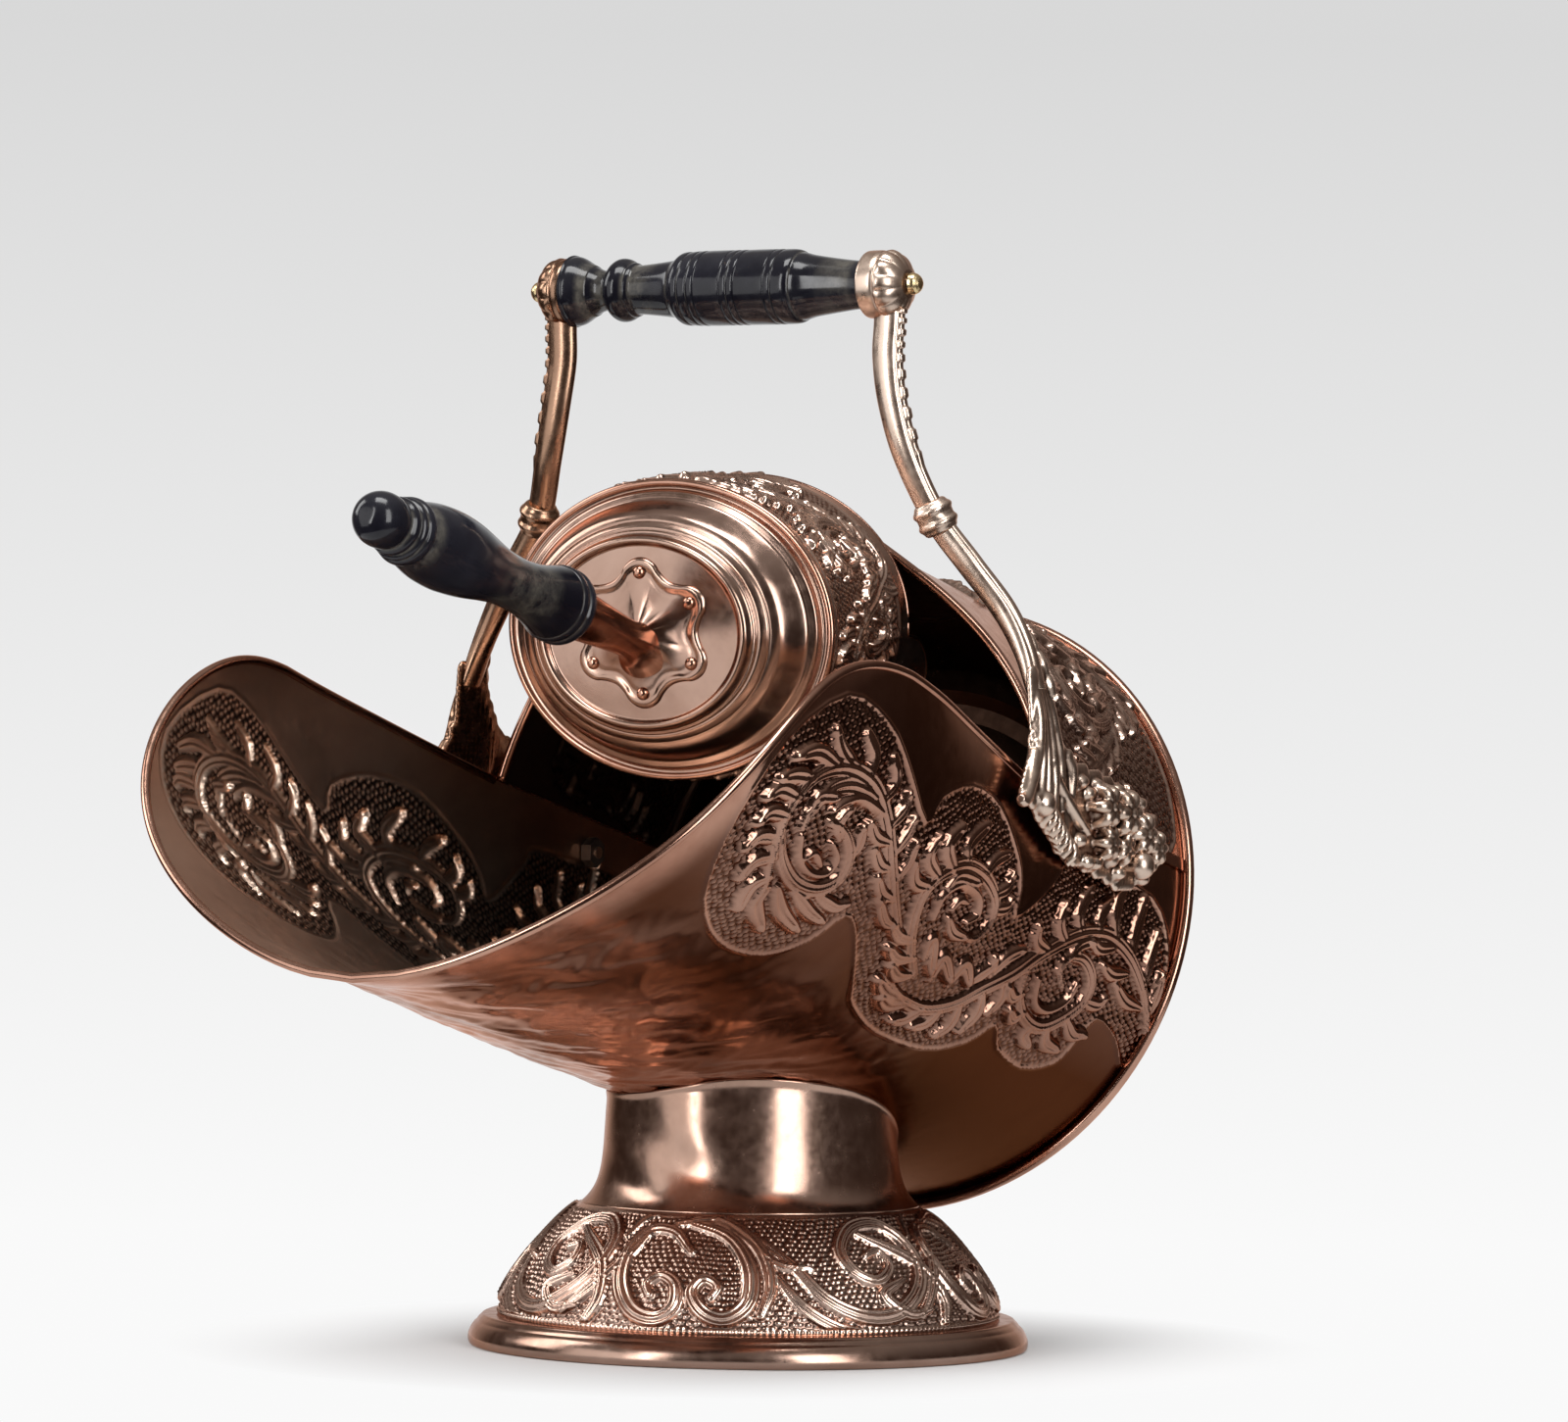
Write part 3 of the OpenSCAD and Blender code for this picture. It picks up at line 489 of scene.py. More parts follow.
# ---------------------------------------------------------------- repousse: heights drawn on a grid of points
class Relief:
    """A height map over a grid whose points have flat coordinates uv in millimetres."""

    def __init__(self, uv):
        self.uv = uv
        self.h = np.zeros(uv.shape[:2])

    def measure(self, line, reach):
        """Indices near the line, distance to it, and how far along it the nearest point is (0 to 1)."""
        lo, hi = line.min(0) - reach, line.max(0) + reach
        idx = np.nonzero(((self.uv > lo) & (self.uv < hi)).all(-1))
        p = self.uv[idx]
        best = np.full(len(p), 1e9)
        along = np.zeros(len(p))
        seg = np.linalg.norm(np.diff(line, axis=0), axis=1)
        cum = np.append(0, np.cumsum(seg))
        for k in range(len(line) - 1):
            a, d = line[k], line[k + 1] - line[k]
            L = seg[k] ** 2 + 1e-12
            t = np.clip(((p - a) @ d) / L, 0, 1)
            q = p - a - t[:, None] * d
            e = np.hypot(q[:, 0], q[:, 1])
            m = e < best
            best[m] = e[m]
            along[m] = (cum[k] + t[m] * seg[k]) / cum[-1]
        return idx, best, along

    def stroke(self, line, width, height, tip=0.25, root=0.5, ribs=0, vein=0.0):
        """A raised tapering stroke. tip and root are the share of the width left at its ends."""
        idx, d, t = self.measure(line, width)
        swell = root + (1 - root) * np.sin(np.pi / 2 * t / 0.45)
        taper = tip + (1 - tip) * np.cos(np.pi / 2 * (t - 0.45) / 0.55) ** 0.8
        w = width * np.where(t < 0.45, swell, taper)
        h = height * np.sqrt(clamp01(1 - (d / w) ** 2)) * (0.72 + 0.28 * t)
        if ribs:
            h = h * (0.8 + 0.2 * np.cos(np.pi * ribs * (d / w)))
        if vein:
            h = h * (1 - vein * np.exp(-(d / w / 0.22) ** 2) * (t < 0.9))
        self.h[idx] = np.maximum(self.h[idx], h)


def inside(uv, poly):
    x, y = uv[..., 0], uv[..., 1]
    c = np.zeros(x.shape, bool)
    for (x1, y1), (x2, y2) in zip(poly, np.roll(poly, -1, 0)):
        if y1 != y2:
            c ^= ((y1 > y) != (y2 > y)) & (x < (x2 - x1) * (y - y1) / (y2 - y1) + x1)
    return c


def stipple(uv, pitch, seed=3):
    """Small domes in a wandering honeycomb, 0 to 1."""
    u = uv[..., 0] + 0.22 * pitch * np.sin(uv[..., 1] / pitch / 1.7 + seed)
    v = uv[..., 1] + 0.22 * pitch * np.sin(uv[..., 0] / pitch / 2.1 + 2 * seed)
    row = np.round(v / (pitch * 0.87))
    shift = 0.5 * (row % 2)
    col = np.round(u / pitch - shift)
    jit = 0.13 * np.sin(row * 12.9898 + col * 78.233 + seed)
    du = u / pitch - shift - col + jit
    dv = v / pitch - row * 0.87 + 0.1 * np.sin(row * 39.3 + col * 11.1)
    return clamp01(1 - (du ** 2 + dv ** 2) / 0.19) ** 0.7


# ---------------------------------------------------------------- bucket and hood
COLS, ROWS = ((720, 480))
t_of = np.linspace(-1, 1, 2 * (COLS // 2) + 1)
t_of = np.sign(t_of) * (1 - (1 - abs(t_of)) ** 1.25)
share = np.linspace(0, 1, ROWS)[:, None]
S = lip_s(t_of)[None, :] * share
PHI = t_of[None, :] * edge_phi(S)
UV = np.stack([np.radians(PHI) * FLAT_R, S], -1)
plain_r = bucket_r(PHI, S)
PX = project(tube_point(PHI, S, plain_r))
SEEN_SIDE = PHI > 12


def flat_at(px, grid_px, uv):
    """Flat coordinates of the surface points seen at some pixels, from the nearest points of a grid."""
    out = []
    for p in np.asarray(px, float):
        d = ((grid_px - p) ** 2).sum(-1)
        k = np.argpartition(d, 4)[:4]
        wt = 1 / (d[k] + 0.05)
        out.append((uv[k] * wt[:, None]).sum(0) / wt.sum())
    return np.array(out)


def on_wall(px):
    return flat_at(px, PX[SEEN_SIDE], UV[SEEN_SIDE])


# The right panel's border, in the photograph's pixels
LOWER = [(865, 708), (803, 753), (752, 832), (721, 901), (721, 942), (741, 966), (779, 974), (824, 960),
         (862, 934), (872, 953), (869, 1004), (869, 1025), (893, 1053), (941, 1070), (986, 1063),
         (1015, 1046), (1017, 1070), (1041, 1089), (1075, 1084), (1096, 1063), (1118, 1039), (1137, 1059),
         (1148, 1090)]
UPPER = [(1182, 1032), (1192, 970), (1175, 915), (1120, 890), (1089, 880), (1079, 894), (1058, 918),
         (1036, 934), (1041, 908), (1039, 874), (1020, 822), (993, 801), (962, 812), (945, 839),
         (927, 781), (907, 736)]

# Stems and leaf lobes of the three scrolls: half width in millimetres, ribs, and places along them, counted
# in fine steps (FINE_STEPS to a photograph's pixel) from the corner PANEL_CORNER.
PANEL_CORNER, FINE_STEPS = (700, 690), 2.6
STEMS = [
    (5.0, 3, [(560, 690), (548, 600), (540, 500), (530, 400), (505, 310), (465, 260), (410, 240),
              (350, 255), (300, 300), (260, 360), (235, 430), (215, 500), (200, 560)]),
    (4.6, 3, [(250, 400), (248, 480), (280, 545), (340, 565), (400, 535), (428, 470), (412, 410),
              (378, 385)]),
    (3.4, 1, [(300, 420), (295, 480), (320, 520), (365, 520), (392, 480), (378, 440)]),
    (4.8, 3, [(500, 320), (440, 290), (380, 300), (330, 350), (300, 400)]),
    (3.8, 1, [(520, 365), (460, 325), (410, 335), (380, 355)]),
    (3.0, 0, [(350, 500), (332, 468), (305, 480)]),
    (5.0, 3, [(600, 790), (590, 720), (600, 640), (630, 570), (680, 520), (740, 500), (790, 530),
              (815, 590), (800, 650), (760, 690), (735, 690)]),
    (4.0, 1, [(650, 640), (680, 580), (730, 550), (770, 580), (765, 630), (735, 650)]),
    (3.0, 0, [(700, 615), (722, 592), (738, 598)]),
    (5.4, 3, [(520, 800), (560, 850), (620, 880), (700, 870), (780, 830), (860, 790), (930, 740),
              (1000, 700), (1060, 680), (1120, 690), (1170, 740), (1200, 810), (1215, 880), (1215, 940)]),
    (4.6, 3, [(900, 780), (880, 840), (890, 900), (930, 930), (990, 910), (1050, 860), (1070, 800),
              (1050, 750), (1010, 745), (985, 780), (990, 820)]),
    (3.6, 1, [(930, 800), (920, 860), (950, 885), (1000, 860), (1030, 810)]),
]
LOBES = [
    (4.5, [(450, 250), (410, 195), (393, 140)]), (4.0, [(480, 275), (495, 210), (478, 152)]),
    (4.5, [(400, 240), (345, 200), (288, 212)]), (4.5, [(335, 270), (285, 262), (248, 268)]),
    (4.5, [(290, 320), (245, 300), (208, 320)]), (4.5, [(262, 370), (215, 360), (182, 385)]),
    (4.6, [(240, 430), (190, 425), (150, 455)]), (4.6, [(228, 480), (175, 490), (135, 530)]),
    (4.8, [(215, 530), (165, 555), (132, 610)]), (5.0, [(212, 560), (180, 605), (192, 668)]),
    (5.0, [(235, 560), (245, 620), (285, 668)]), (4.6, [(280, 570), (315, 620), (350, 645)]),
    (4.2, [(340, 580), (385, 610), (420, 600)]), (4.0, [(515, 330), (550, 285), (548, 215)]),
    (4.0, [(532, 400), (570, 355), (582, 310)]), (4.0, [(545, 470), (580, 425), (600, 375)]),
    (3.8, [(550, 540), (585, 490), (602, 440)]), (4.0, [(532, 440), (495, 425), (478, 385)]),
    (4.0, [(540, 510), (508, 500), (490, 455)]), (4.0, [(545, 590), (512, 575), (498, 530)]),
    (4.0, [(550, 660), (518, 645), (502, 590)]), (4.2, [(420, 480), (450, 450), (462, 400)]),
    (4.0, [(400, 430), (400, 385), (425, 350)]), (4.0, [(330, 350), (345, 320), (390, 320)]),
    (4.4, [(645, 560), (602, 545), (600, 490)]), (4.6, [(665, 530), (640, 480), (668, 425)]),
    (5.0, [(705, 510), (690, 450), (725, 400)]), (4.8, [(745, 500), (750, 445), (795, 395)]),
    (4.2, [(785, 530), (815, 490), (850, 470)]), (4.2, [(812, 580), (845, 560), (858, 520)]),
    (4.0, [(812, 620), (842, 615), (858, 590)]), (5.0, [(625, 745), (648, 700), (640, 780)]),
    (5.0, [(640, 800), (675, 745), (690, 800)]), (5.0, [(690, 815), (735, 765), (745, 810)]),
    (5.0, [(745, 810), (800, 770), (812, 745)]), (4.6, [(800, 790), (845, 745), (885, 722)]),
    (4.4, [(600, 700), (558, 690), (538, 660)]), (4.4, [(600, 745), (552, 745), (528, 715)]),
    (4.6, [(590, 790), (550, 790), (530, 760)]), (5.0, [(570, 850), (525, 835), (502, 800)]),
    (5.0, [(580, 865), (530, 870), (505, 845)]), (5.0, [(620, 880), (570, 905), (535, 905)]),
    (5.0, [(670, 880), (630, 918), (590, 925)]), (5.0, [(720, 868), (695, 920), (650, 948)]),
    (4.8, [(780, 840), (765, 890), (715, 935)]), (4.6, [(840, 805), (830, 855), (790, 890)]),
    (4.2, [(888, 840), (860, 850), (848, 820)]), (4.6, [(888, 890), (860, 905), (850, 880)]),
    (5.0, [(915, 925), (890, 950), (900, 975)]), (5.0, [(950, 930), (945, 968), (975, 985)]),
    (4.8, [(1000, 905), (1015, 945), (1045, 945)]), (4.2, [(1050, 860), (1085, 870), (1105, 850)]),
    (4.6, [(955, 725), (925, 700), (928, 660)]), (4.6, [(1000, 700), (985, 655), (1000, 602)]),
    (4.6, [(1045, 685), (1040, 630), (1068, 560)]), (4.4, [(1090, 685), (1095, 640), (1118, 595)]),
    (5.0, [(1135, 705), (1135, 620), (1160, 530)]), (5.0, [(1175, 755), (1190, 680), (1212, 590)]),
    (4.6, [(1203, 830), (1225, 760), (1243, 680)]), (4.2, [(1215, 900), (1240, 850), (1255, 790)]),
    (4.2, [(1200, 880), (1160, 860), (1132, 815)]), (4.2, [(1165, 790), (1125, 790), (1098, 765)]),
    (4.0, [(1130, 720), (1090, 722), (1068, 700)]), (4.2, [(1090, 700), (1040, 712), (1010, 745)]),
    (4.2, [(690, 560), (720, 530), (770, 545)]), (4.0, [(690, 640), (700, 675), (730, 690)]),
]
LEAF_H = 3.5


def scroll_uv(fine):
    """Flat coordinates on the wall of places counted in fine steps."""
    return on_wall(np.asarray(fine, float) / FINE_STEPS + PANEL_CORNER)


SCROLL_STEMS = [(w, ribs, scroll_uv(pts)) for w, ribs, pts in STEMS]
SCROLL_LOBES = [(w, scroll_uv(pts)) for w, pts in LOBES]


def acanthus(rel, place, size=1.0):
    """Draws the scrolls; place turns the wall's flat coordinates into the relief's own."""
    height = LEAF_H * size ** 0.5
    for w, ribs, pts in SCROLL_STEMS:
        rel.stroke(smooth_line(place(pts), 4), w * size, height, tip=0.45, root=0.6, ribs=ribs)
    for i, (w, pts) in enumerate(SCROLL_LOBES):
        taller = height * (0.95 + 0.12 * (i % 3))
        rel.stroke(smooth_line(place(pts), 4), w * size, taller, tip=0.62, root=0.5, vein=0.3)


def refit(box_u, box_v):
    """A placing that lays the wall's scrolls into another rectangle, with its two directions exchanged."""
    start, end = np.array([box_u, box_v]).T

    def place(uv):
        f = ((uv - WALL_LO) / (WALL_HI - WALL_LO))[:, ::-1]
        return start + (end - start) * f
    return place


def panel_heights(rel, poly):
    """Height and dark film inside a border: a stippled ground, the leaves over it, a raised line round it."""
    sink = 0.6
    ground = inside(rel.uv, poly)
    idx, d, _ = rel.measure(np.concatenate([poly, poly[:1]]), 6)
    ridge = np.zeros(rel.h.shape)
    ridge[idx] = bell(d, 0, 1.0)
    edge = np.full(rel.h.shape, 9.0)
    edge[idx] = d
    fade = np.where(ground, clamp01((edge - 1.2) / 1.2), 0)
    dots = stipple(rel.uv, 3.7)
    h = np.where(ground, -sink * fade + dots * fade, 0)
    leaf = np.where(ground | (edge < 3), rel.h, 0)
    h = np.maximum(h * (1 - clamp01(leaf / 0.8)), -sink) + leaf + 0.8 * ridge
    return h, np.where(ground, fade * (1 - 0.75 * dots) * (1 - clamp01(leaf / 2.2)), 0)


def frieze(rel, dots, band, sink, soft):
    """Height and dark film of a stippled band with leaves over it; band fades it out at its edges."""
    h = band * ((dots * 0.7 - sink) * (1 - clamp01(rel.h / 0.7)) + rel.h)
    return h, band * (1 - 0.8 * dots) * (1 - clamp01(rel.h / soft)) * 0.9


border_uv = on_wall(LOWER + UPPER)
WALL_LO, WALL_HI = border_uv.min(0), border_uv.max(0)
panel = smooth_line(border_uv, 3, closed=True)
right_rel = Relief(UV)
acanthus(right_rel, lambda uv: uv)
h_right, rec_right = panel_heights(right_rel, panel)
h_wall = h_right + h_right[:, ::-1]
rec_wall = np.maximum(rec_right, rec_right[:, ::-1])

# hammer marks under the front, in three sizes, and long shallow waves all over
wu, wv = UV[..., 0], UV[..., 1]
hammer = 0.5 * np.sin(wu / 9.5 + 1.3 * np.sin(wv / 17)) * np.sin(wv / 13 + 0.9 * np.sin(wu / 11))
hammer += 0.3 * np.sin(wu / 4.7 + wv / 7.9 + 1.1 * np.sin(wv / 9))
hammer += 0.25 * np.sin(wu / 3.1 + 2 * np.sin(wv / 6.3)) * np.sin(wv / 4.3 + np.sin(wu / 5.7))
front = ease((S - 120) / 60) * np.exp(-((PHI + 2) / 52) ** 4)
h_wall = h_wall + 0.85 * hammer * front * ease((0.97 - share) * 14)
away = clamp01((1 - share) * 14) * clamp01((1 - abs(t_of)) * 30)[None, :]
h_wall = h_wall + 0.18 * away * np.sin(wu / 21 + 1) * np.sin(wv / 33 + 0.5)

# the dressed wall stays inside the width of the CAD model
WIDEST = cad_box[1][0] * 1000 - 0.1
outer = tube_point(PHI, S, plain_r + h_wall)
inner = tube_point(PHI, S, plain_r - SHEET + SHOWS_INSIDE * h_wall - tuck(S))
for face in (outer, inner):
    face[..., 0] = np.clip(face[..., 0], -WIDEST, WIDEST)
wall = sheet_piece("bucket_wall", outer, inner, (COPPER, INSIDE_PAINTED_LIGHT), "scuttle", "bucket", rec_wall)

# the plain copper round the panels is tarnished brown, with painted shade that darkens it most of all low
# down at the back; a streaky painted reflection keeps the front underside light
ground = inside(UV, panel)
ground = ground | ground[:, ::-1]
below = np.exp(-(abs(PHI) / 74) ** 4)
streaks = 0.85 + 0.5 * np.sin(wu / 17 + 2 * np.sin(wv / 31))
# painted reflection: a streaky band under the front that is spared the darkening
painted_reflection = bell(PHI, -4, 38) * ease((S - 135) / 50) * streaks
brown = np.where(ground, 0.1 + 0.3 * below, np.minimum(0.5 + 0.65 * below, 1)) * (1 - np.minimum(painted_reflection, 1))
brown = brown * ease((0.985 - share) * 20)
# tarnish and painted shade on the wall's outer face; the inner face gets none
mark(wall.data, "tarnish_and_shade", [brown, 0 * brown])

# the hood: psi is the angle from its top
HOOD_SIDE, HOOD_CREST, HOOD_SPAN = 157, 215, 80.6
HOOD_BORDER = [(77, 9), (77, 60), (76, 118), (60, 126), (42, 122), (30, 100), (18, 88), (10, 60), (12, 24),
               (22, 9)]


def hood_s(psi):
    """How far forward the hood reaches."""
    return HOOD_SIDE + (HOOD_CREST - HOOD_SIDE) * np.exp(-(abs(psi) / 44) ** 3)


def hood_r(psi, s):
    """The outer radius, with a raised crest along the top of the front edge."""
    return (TUBE_R + widening(s) * ease((abs(psi) - 30) / 50)
            + (10.5 * bell(psi, 0, 20) + 0.5) * ease((s - hood_s(psi) + 45) / 45))


HC, HR = ((401, 210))
psi = np.linspace(-HOOD_SPAN, HOOD_SPAN, HC)[None, :]
hs = hood_s(psi) * np.linspace(0, 1, HR)[:, None]
hood_rel = Relief(np.stack([np.radians(psi + 0 * hs) * FLAT_R, hs], -1))
for sgn in (1, -1):
    acanthus(hood_rel, refit((sgn * 8, sgn * 250), (-4, 146)), 0.9)
h_hood = 0
rec_hood = 0
for sgn in (1, -1):
    poly = smooth_line([(sgn * math.radians(a) * FLAT_R, v) for a, v in HOOD_BORDER], 4, closed=True)
    h, rec = panel_heights(hood_rel, poly)
    h_hood = h_hood + h
    rec_hood = rec_hood + rec
hr = hood_r(psi, hs)
outer = tube_point(180 - psi, hs, hr + h_hood)
inner = tube_point(180 - psi, hs, hr - SHEET + SHOWS_INSIDE * h_hood - tuck(hs))
# the hood's inner face carries painted shade
sheet_piece("hood_sheet", outer, inner, (COPPER_PAINTED_LIGHT, COPPER_PAINTED_SHADE), "scuttle", "hood", rec_hood)

# wired edges: up one side of the bucket, round the lip and down the other side; then the hood's
back_s = np.linspace(EAR_S + 0.3, LOBE_AT, 40)
side = np.stack([edge_phi(back_s), back_s], -1)
half_t = np.linspace(0, 1, 160) ** 0.6
lip_t = np.concatenate([-(half_t[::-1][:-1]), half_t])
lip_t = np.sign(lip_t) * (1 - (1 - abs(lip_t)) ** 2)
curve = np.stack([lip_t * EDGE_LOBE, lip_s(lip_t)], -1)[1:-1]
phi, s = np.concatenate([side * (-1, 1), curve, side[::-1]]).T
path = tube_point(phi, s, bucket_r(phi, s) - 0.6)
outward = unit(tube_point(phi, s, 200.0) - tube_point(phi, s, 100.0))
bead("lip_bead", path, 2.2, outward, "scuttle", "lip_wire")
ps = np.linspace(-HOOD_SPAN, HOOD_SPAN, 200)
path = tube_point(180 - ps, hood_s(ps), hood_r(ps, hood_s(ps)) - 0.6)
bead("hood_bead", path, 2.3, unit(path - to_row(xyz(0, 0, hood_s(ps)))), "scuttle", "hood_wire")

# ---------------------------------------------------------------- foot
FOOT_RIM_H, SKIRT_H, SKIRT_R, NECK_R, NECK_FLARE, NECK_LEN = 14.3, 53, 119, 68.3, 12.2, 55
FOOT_FLAT_R = 100
FA, FT = ((1081, 130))
fa = np.linspace(-180, 180, FA)[None, :]
ft = np.linspace(0, 1, FT)[:, None]
sr = SKIRT_R - (SKIRT_R - NECK_R - NECK_FLARE) * ft ** 1.55
sz = FOOT_RIM_H + SKIRT_H * ft
arc = np.append(0, np.cumsum(np.hypot(np.diff(sr[:, 0]), np.diff(sz[:, 0]))))[:, None]
fuv = np.stack(np.broadcast_arrays(np.radians(fa) * FOOT_FLAT_R, arc), -1)
FOOT_PX = project(around(fa, sr, sz))
FOOT_SEEN = np.broadcast_to(abs(fa - 30) < 82, fuv.shape[:2])

# the foot's scrolls: pixels of the photograph and half width in millimetres
MOTIF = [
    ([(706, 1278), (690, 1258), (666, 1256), (644, 1276), (634, 1306), (644, 1336), (668, 1346),
      (688, 1334), (690, 1312), (676, 1302), (661, 1310), (663, 1322)], 4.6),
    ([(700, 1247), (742, 1262), (764, 1292), (764, 1328), (742, 1346), (718, 1340), (706, 1320),
      (718, 1306), (732, 1314), (726, 1326)], 4.4),
    ([(690, 1250), (735, 1247), (772, 1272), (786, 1310), (776, 1344)], 4.2),
    ([(640, 1262), (668, 1240), (710, 1238), (756, 1256), (790, 1290), (828, 1296)], 3.4),
    ([(770, 1262), (808, 1292), (842, 1326), (884, 1344), (920, 1338), (938, 1306), (922, 1270),
      (892, 1250), (866, 1254), (856, 1276), (870, 1298), (894, 1308), (906, 1294), (894, 1278),
      (882, 1282)], 4.6),
    ([(790, 1300), (818, 1334), (856, 1356), (900, 1362)], 3.2),
    ([(930, 1250), (946, 1280), (950, 1316), (940, 1344)], 3.6),
    ([(600, 1252), (614, 1284), (612, 1322), (596, 1350)], 4.2),
    ([(586, 1300), (560, 1312), (566, 1334), (588, 1332)], 3.4),
]
MOTIF_TURNS = 4
foot_rel = Relief(fuv)
for pts, w in MOTIF:
    base = smooth_line(flat_at(pts, FOOT_PX[FOOT_SEEN], fuv[FOOT_SEEN]), 4)
    for k in range(1 - MOTIF_TURNS, MOTIF_TURNS):
        turned = base + (math.radians(360 / MOTIF_TURNS) * FOOT_FLAT_R * k, 0)
        foot_rel.stroke(turned, w, 3.0, tip=0.45, root=0.5, ribs=3)
band = clamp01((fuv[..., 1] - 2.5) / 1.0) * clamp01((arc[-1, 0] - 2.2 - fuv[..., 1]) / 1.0)
h_skirt, rec_skirt = frieze(foot_rel, stipple(fuv, 3.1, 7), band, 0.35, 2)
pearls = bell(fuv[..., 1], 1.6, 0.8) * (0.5 + 0.5 * np.cos(fuv[..., 0] * 2 * np.pi / 2.4))
h_skirt = h_skirt + 0.8 * pearls
slope = np.gradient(sr[:, 0], sz[:, 0])[:, None]
nr, nz = 1 / np.hypot(1, slope), -slope / np.hypot(1, slope)
outer = around(fa, sr + h_skirt * nr, sz + h_skirt * nz)[:, :-1]
inner = around(fa, sr - SHEET * nr, sz - SHEET * nz)[:, :-1]
sheet_piece("foot_skirt_sheet", outer, inner, COPPER_PAINTED_LIGHT, "scuttle", "foot_skirt", rec_skirt[:, :-1], True)


def foot_place(p):
    """Nothing of the foot goes under the floor."""
    return np.maximum(p, (-np.inf, -np.inf, 0))


# the rolled rim: radius beyond RIM_R, and height
RIM_R = 133
RIM = [(-7.5, 0), (-4, 0), (-1.5, 0.05), (-0.6, 0.5), (-0.1, 1.8), (0, 3.5), (-0.3, 5.2), (-1.3, 7.6),
       (-2.6, 9.6), (-4.0, 10.9), (-4.3, 11.3), (-5.0, 12.3), (-6.2, 13.4), (-7, 14.1), (-9, 14.3),
       (-13, 14.4), (-15.2, 14.2), (-15.4, 12.4), (-9.8, 9.6), (-8.4, 4)]
lathe("foot_rim_roll", [(RIM_R + r, z) for r, z in RIM], foot_place, SATIN, "scuttle",
      ("foot_rim",), 192, 4, closed=True)


def floor_z(a, r):
    """Height of the bucket's underside over the ring of radius r."""
    x, y = r * np.sin(np.radians(a)), -r * np.cos(np.radians(a))
    s = 180 + 0 * x
    rr = TUBE_R + 0 * x
    for _ in range(12):
        phi = np.degrees(np.arctan2(x, np.sqrt(np.maximum(rr ** 2 - x ** 2, 1))))
        rr = bucket_r(phi, s)
        down = np.sqrt(np.maximum(rr ** 2 - x ** 2, 1))
        s = (BACK_Y - down * math.sin(TILT) - y) / math.cos(TILT)
    return BACK_Z - down * math.cos(TILT) + s * math.sin(TILT)


# the neck, dented by hand work on its left side, with a small flange under the bucket
NECK_A, NECK_Z = 361, 70
na = np.linspace(-180, 180, NECK_A)[None, :]
nt = np.linspace(0, 1, NECK_Z)[:, None]
z0 = FOOT_RIM_H + SKIRT_H
top = floor_z(na, NECK_R + 1) - 0.2
neck_z = z0 + (top - z0) * nt
low = clamp01((z0 + NECK_LEN - neck_z) / NECK_LEN)
neck_r = NECK_R + NECK_FLARE * (0.26 * low + 0.74 * low ** 7)
flange = 0.6 * np.exp(-((top - neck_z - 0.5) / 2.0) ** 2)
dent = 0.9 * np.sin(np.radians(na) * 7 + neck_z / 9 + 1.2 * np.sin(neck_z / 13)) * bell(na, -8, 28)
dent = dent + 0.12 * np.sin(np.radians(na) * 5 + 0.5) * np.sin(neck_z / 15)
outer = around(na, neck_r + flange + dent * np.sin(np.pi * nt) ** 0.5, neck_z)[:, :-1]
inner = around(na, neck_r - SHEET, neck_z)[:, :-1]
sheet_piece("foot_neck_sheet", outer, inner, DENTED, "scuttle", "foot_neck", wrap=True)

# ---------------------------------------------------------------- scoop
# an oval tube, SA and SB its half axes; BAND and BLADE the lengths of its band and of the blade beyond it;
# DISH how far its round back stands out. Its frame lies at the middle of the wire round the back's edge.
SA, SB, BAND, BLADE, S_TILT, DISH = 87, 69, 72, 46, math.radians(5), 27
SCOOP_FLAT_R = 78
lo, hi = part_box("scoop_back_wire")
ORIGIN = np.array([(a + b) / 2 * 1000 for a, b in zip(lo, hi)])
SY = np.array((0, -math.sin(S_TILT), math.cos(S_TILT)))
SZ = np.array((0, -math.cos(S_TILT), -math.sin(S_TILT)))


def to_scoop(p):
    """From the scoop's own frame, with Z out along its handle, to the shared one."""
    p = np.asarray(p, float)
    return ORIGIN + p[..., :1] * (1, 0, 0) + p[..., 1:2] * SY + p[..., 2:3] * SZ


def scoop_ring(phi, s, out=0.0):
    """Points at an angle round the oval, a distance s behind the back's edge, and out from the sheet."""
    a = np.radians(phi)
    nx, ny = np.sin(a) / SA, -np.cos(a) / SB
    k = np.hypot(nx, ny)
    return to_scoop(xyz(SA * np.sin(a) + out * nx / k, -SB * np.cos(a) + out * ny / k, -s))


def blade_s(phi):
    return BAND + BLADE * np.sqrt(np.maximum(0, 1 - (abs(phi) / 84) ** 2))


CA, CS = ((721, 150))
ca = np.linspace(-180, 180, CA)[None, :]
cs = blade_s(ca) * np.linspace(0, 1, CS)[:, None]
cuv = np.stack([np.radians(ca + 0 * cs) * SCOOP_FLAT_R, cs], -1)
band_rel = Relief(cuv)
step = SCOOP_FLAT_R * 2 * math.pi / 3
for k in range(-2, 3):
    acanthus(band_rel, refit((k * step - 82, k * step + 82), (74, -6)), 0.8)
band = clamp01((cs - 6) / 1.5) * clamp01((62 - cs) / 1.5)
h_band, rec_band = frieze(band_rel, stipple(cuv, 3.0, 5), band, 0.3, 1.8)
h_band = h_band + 0.5 * bell(cs, 4.6, 0.9) + 0.5 * bell(cs, 63.6, 0.9)
outer = scoop_ring(ca, cs, h_band)[:, :-1]
inner = scoop_ring(ca, cs, -1 + SHOWS_INSIDE * h_band)[:, :-1]
sheet_piece("scoop_band", outer, inner, (COPPER_PAINTED_LIGHT, INSIDE_PAINTED_LIGHT), "scoop", "scoop_body", rec_band[:, :-1], True)

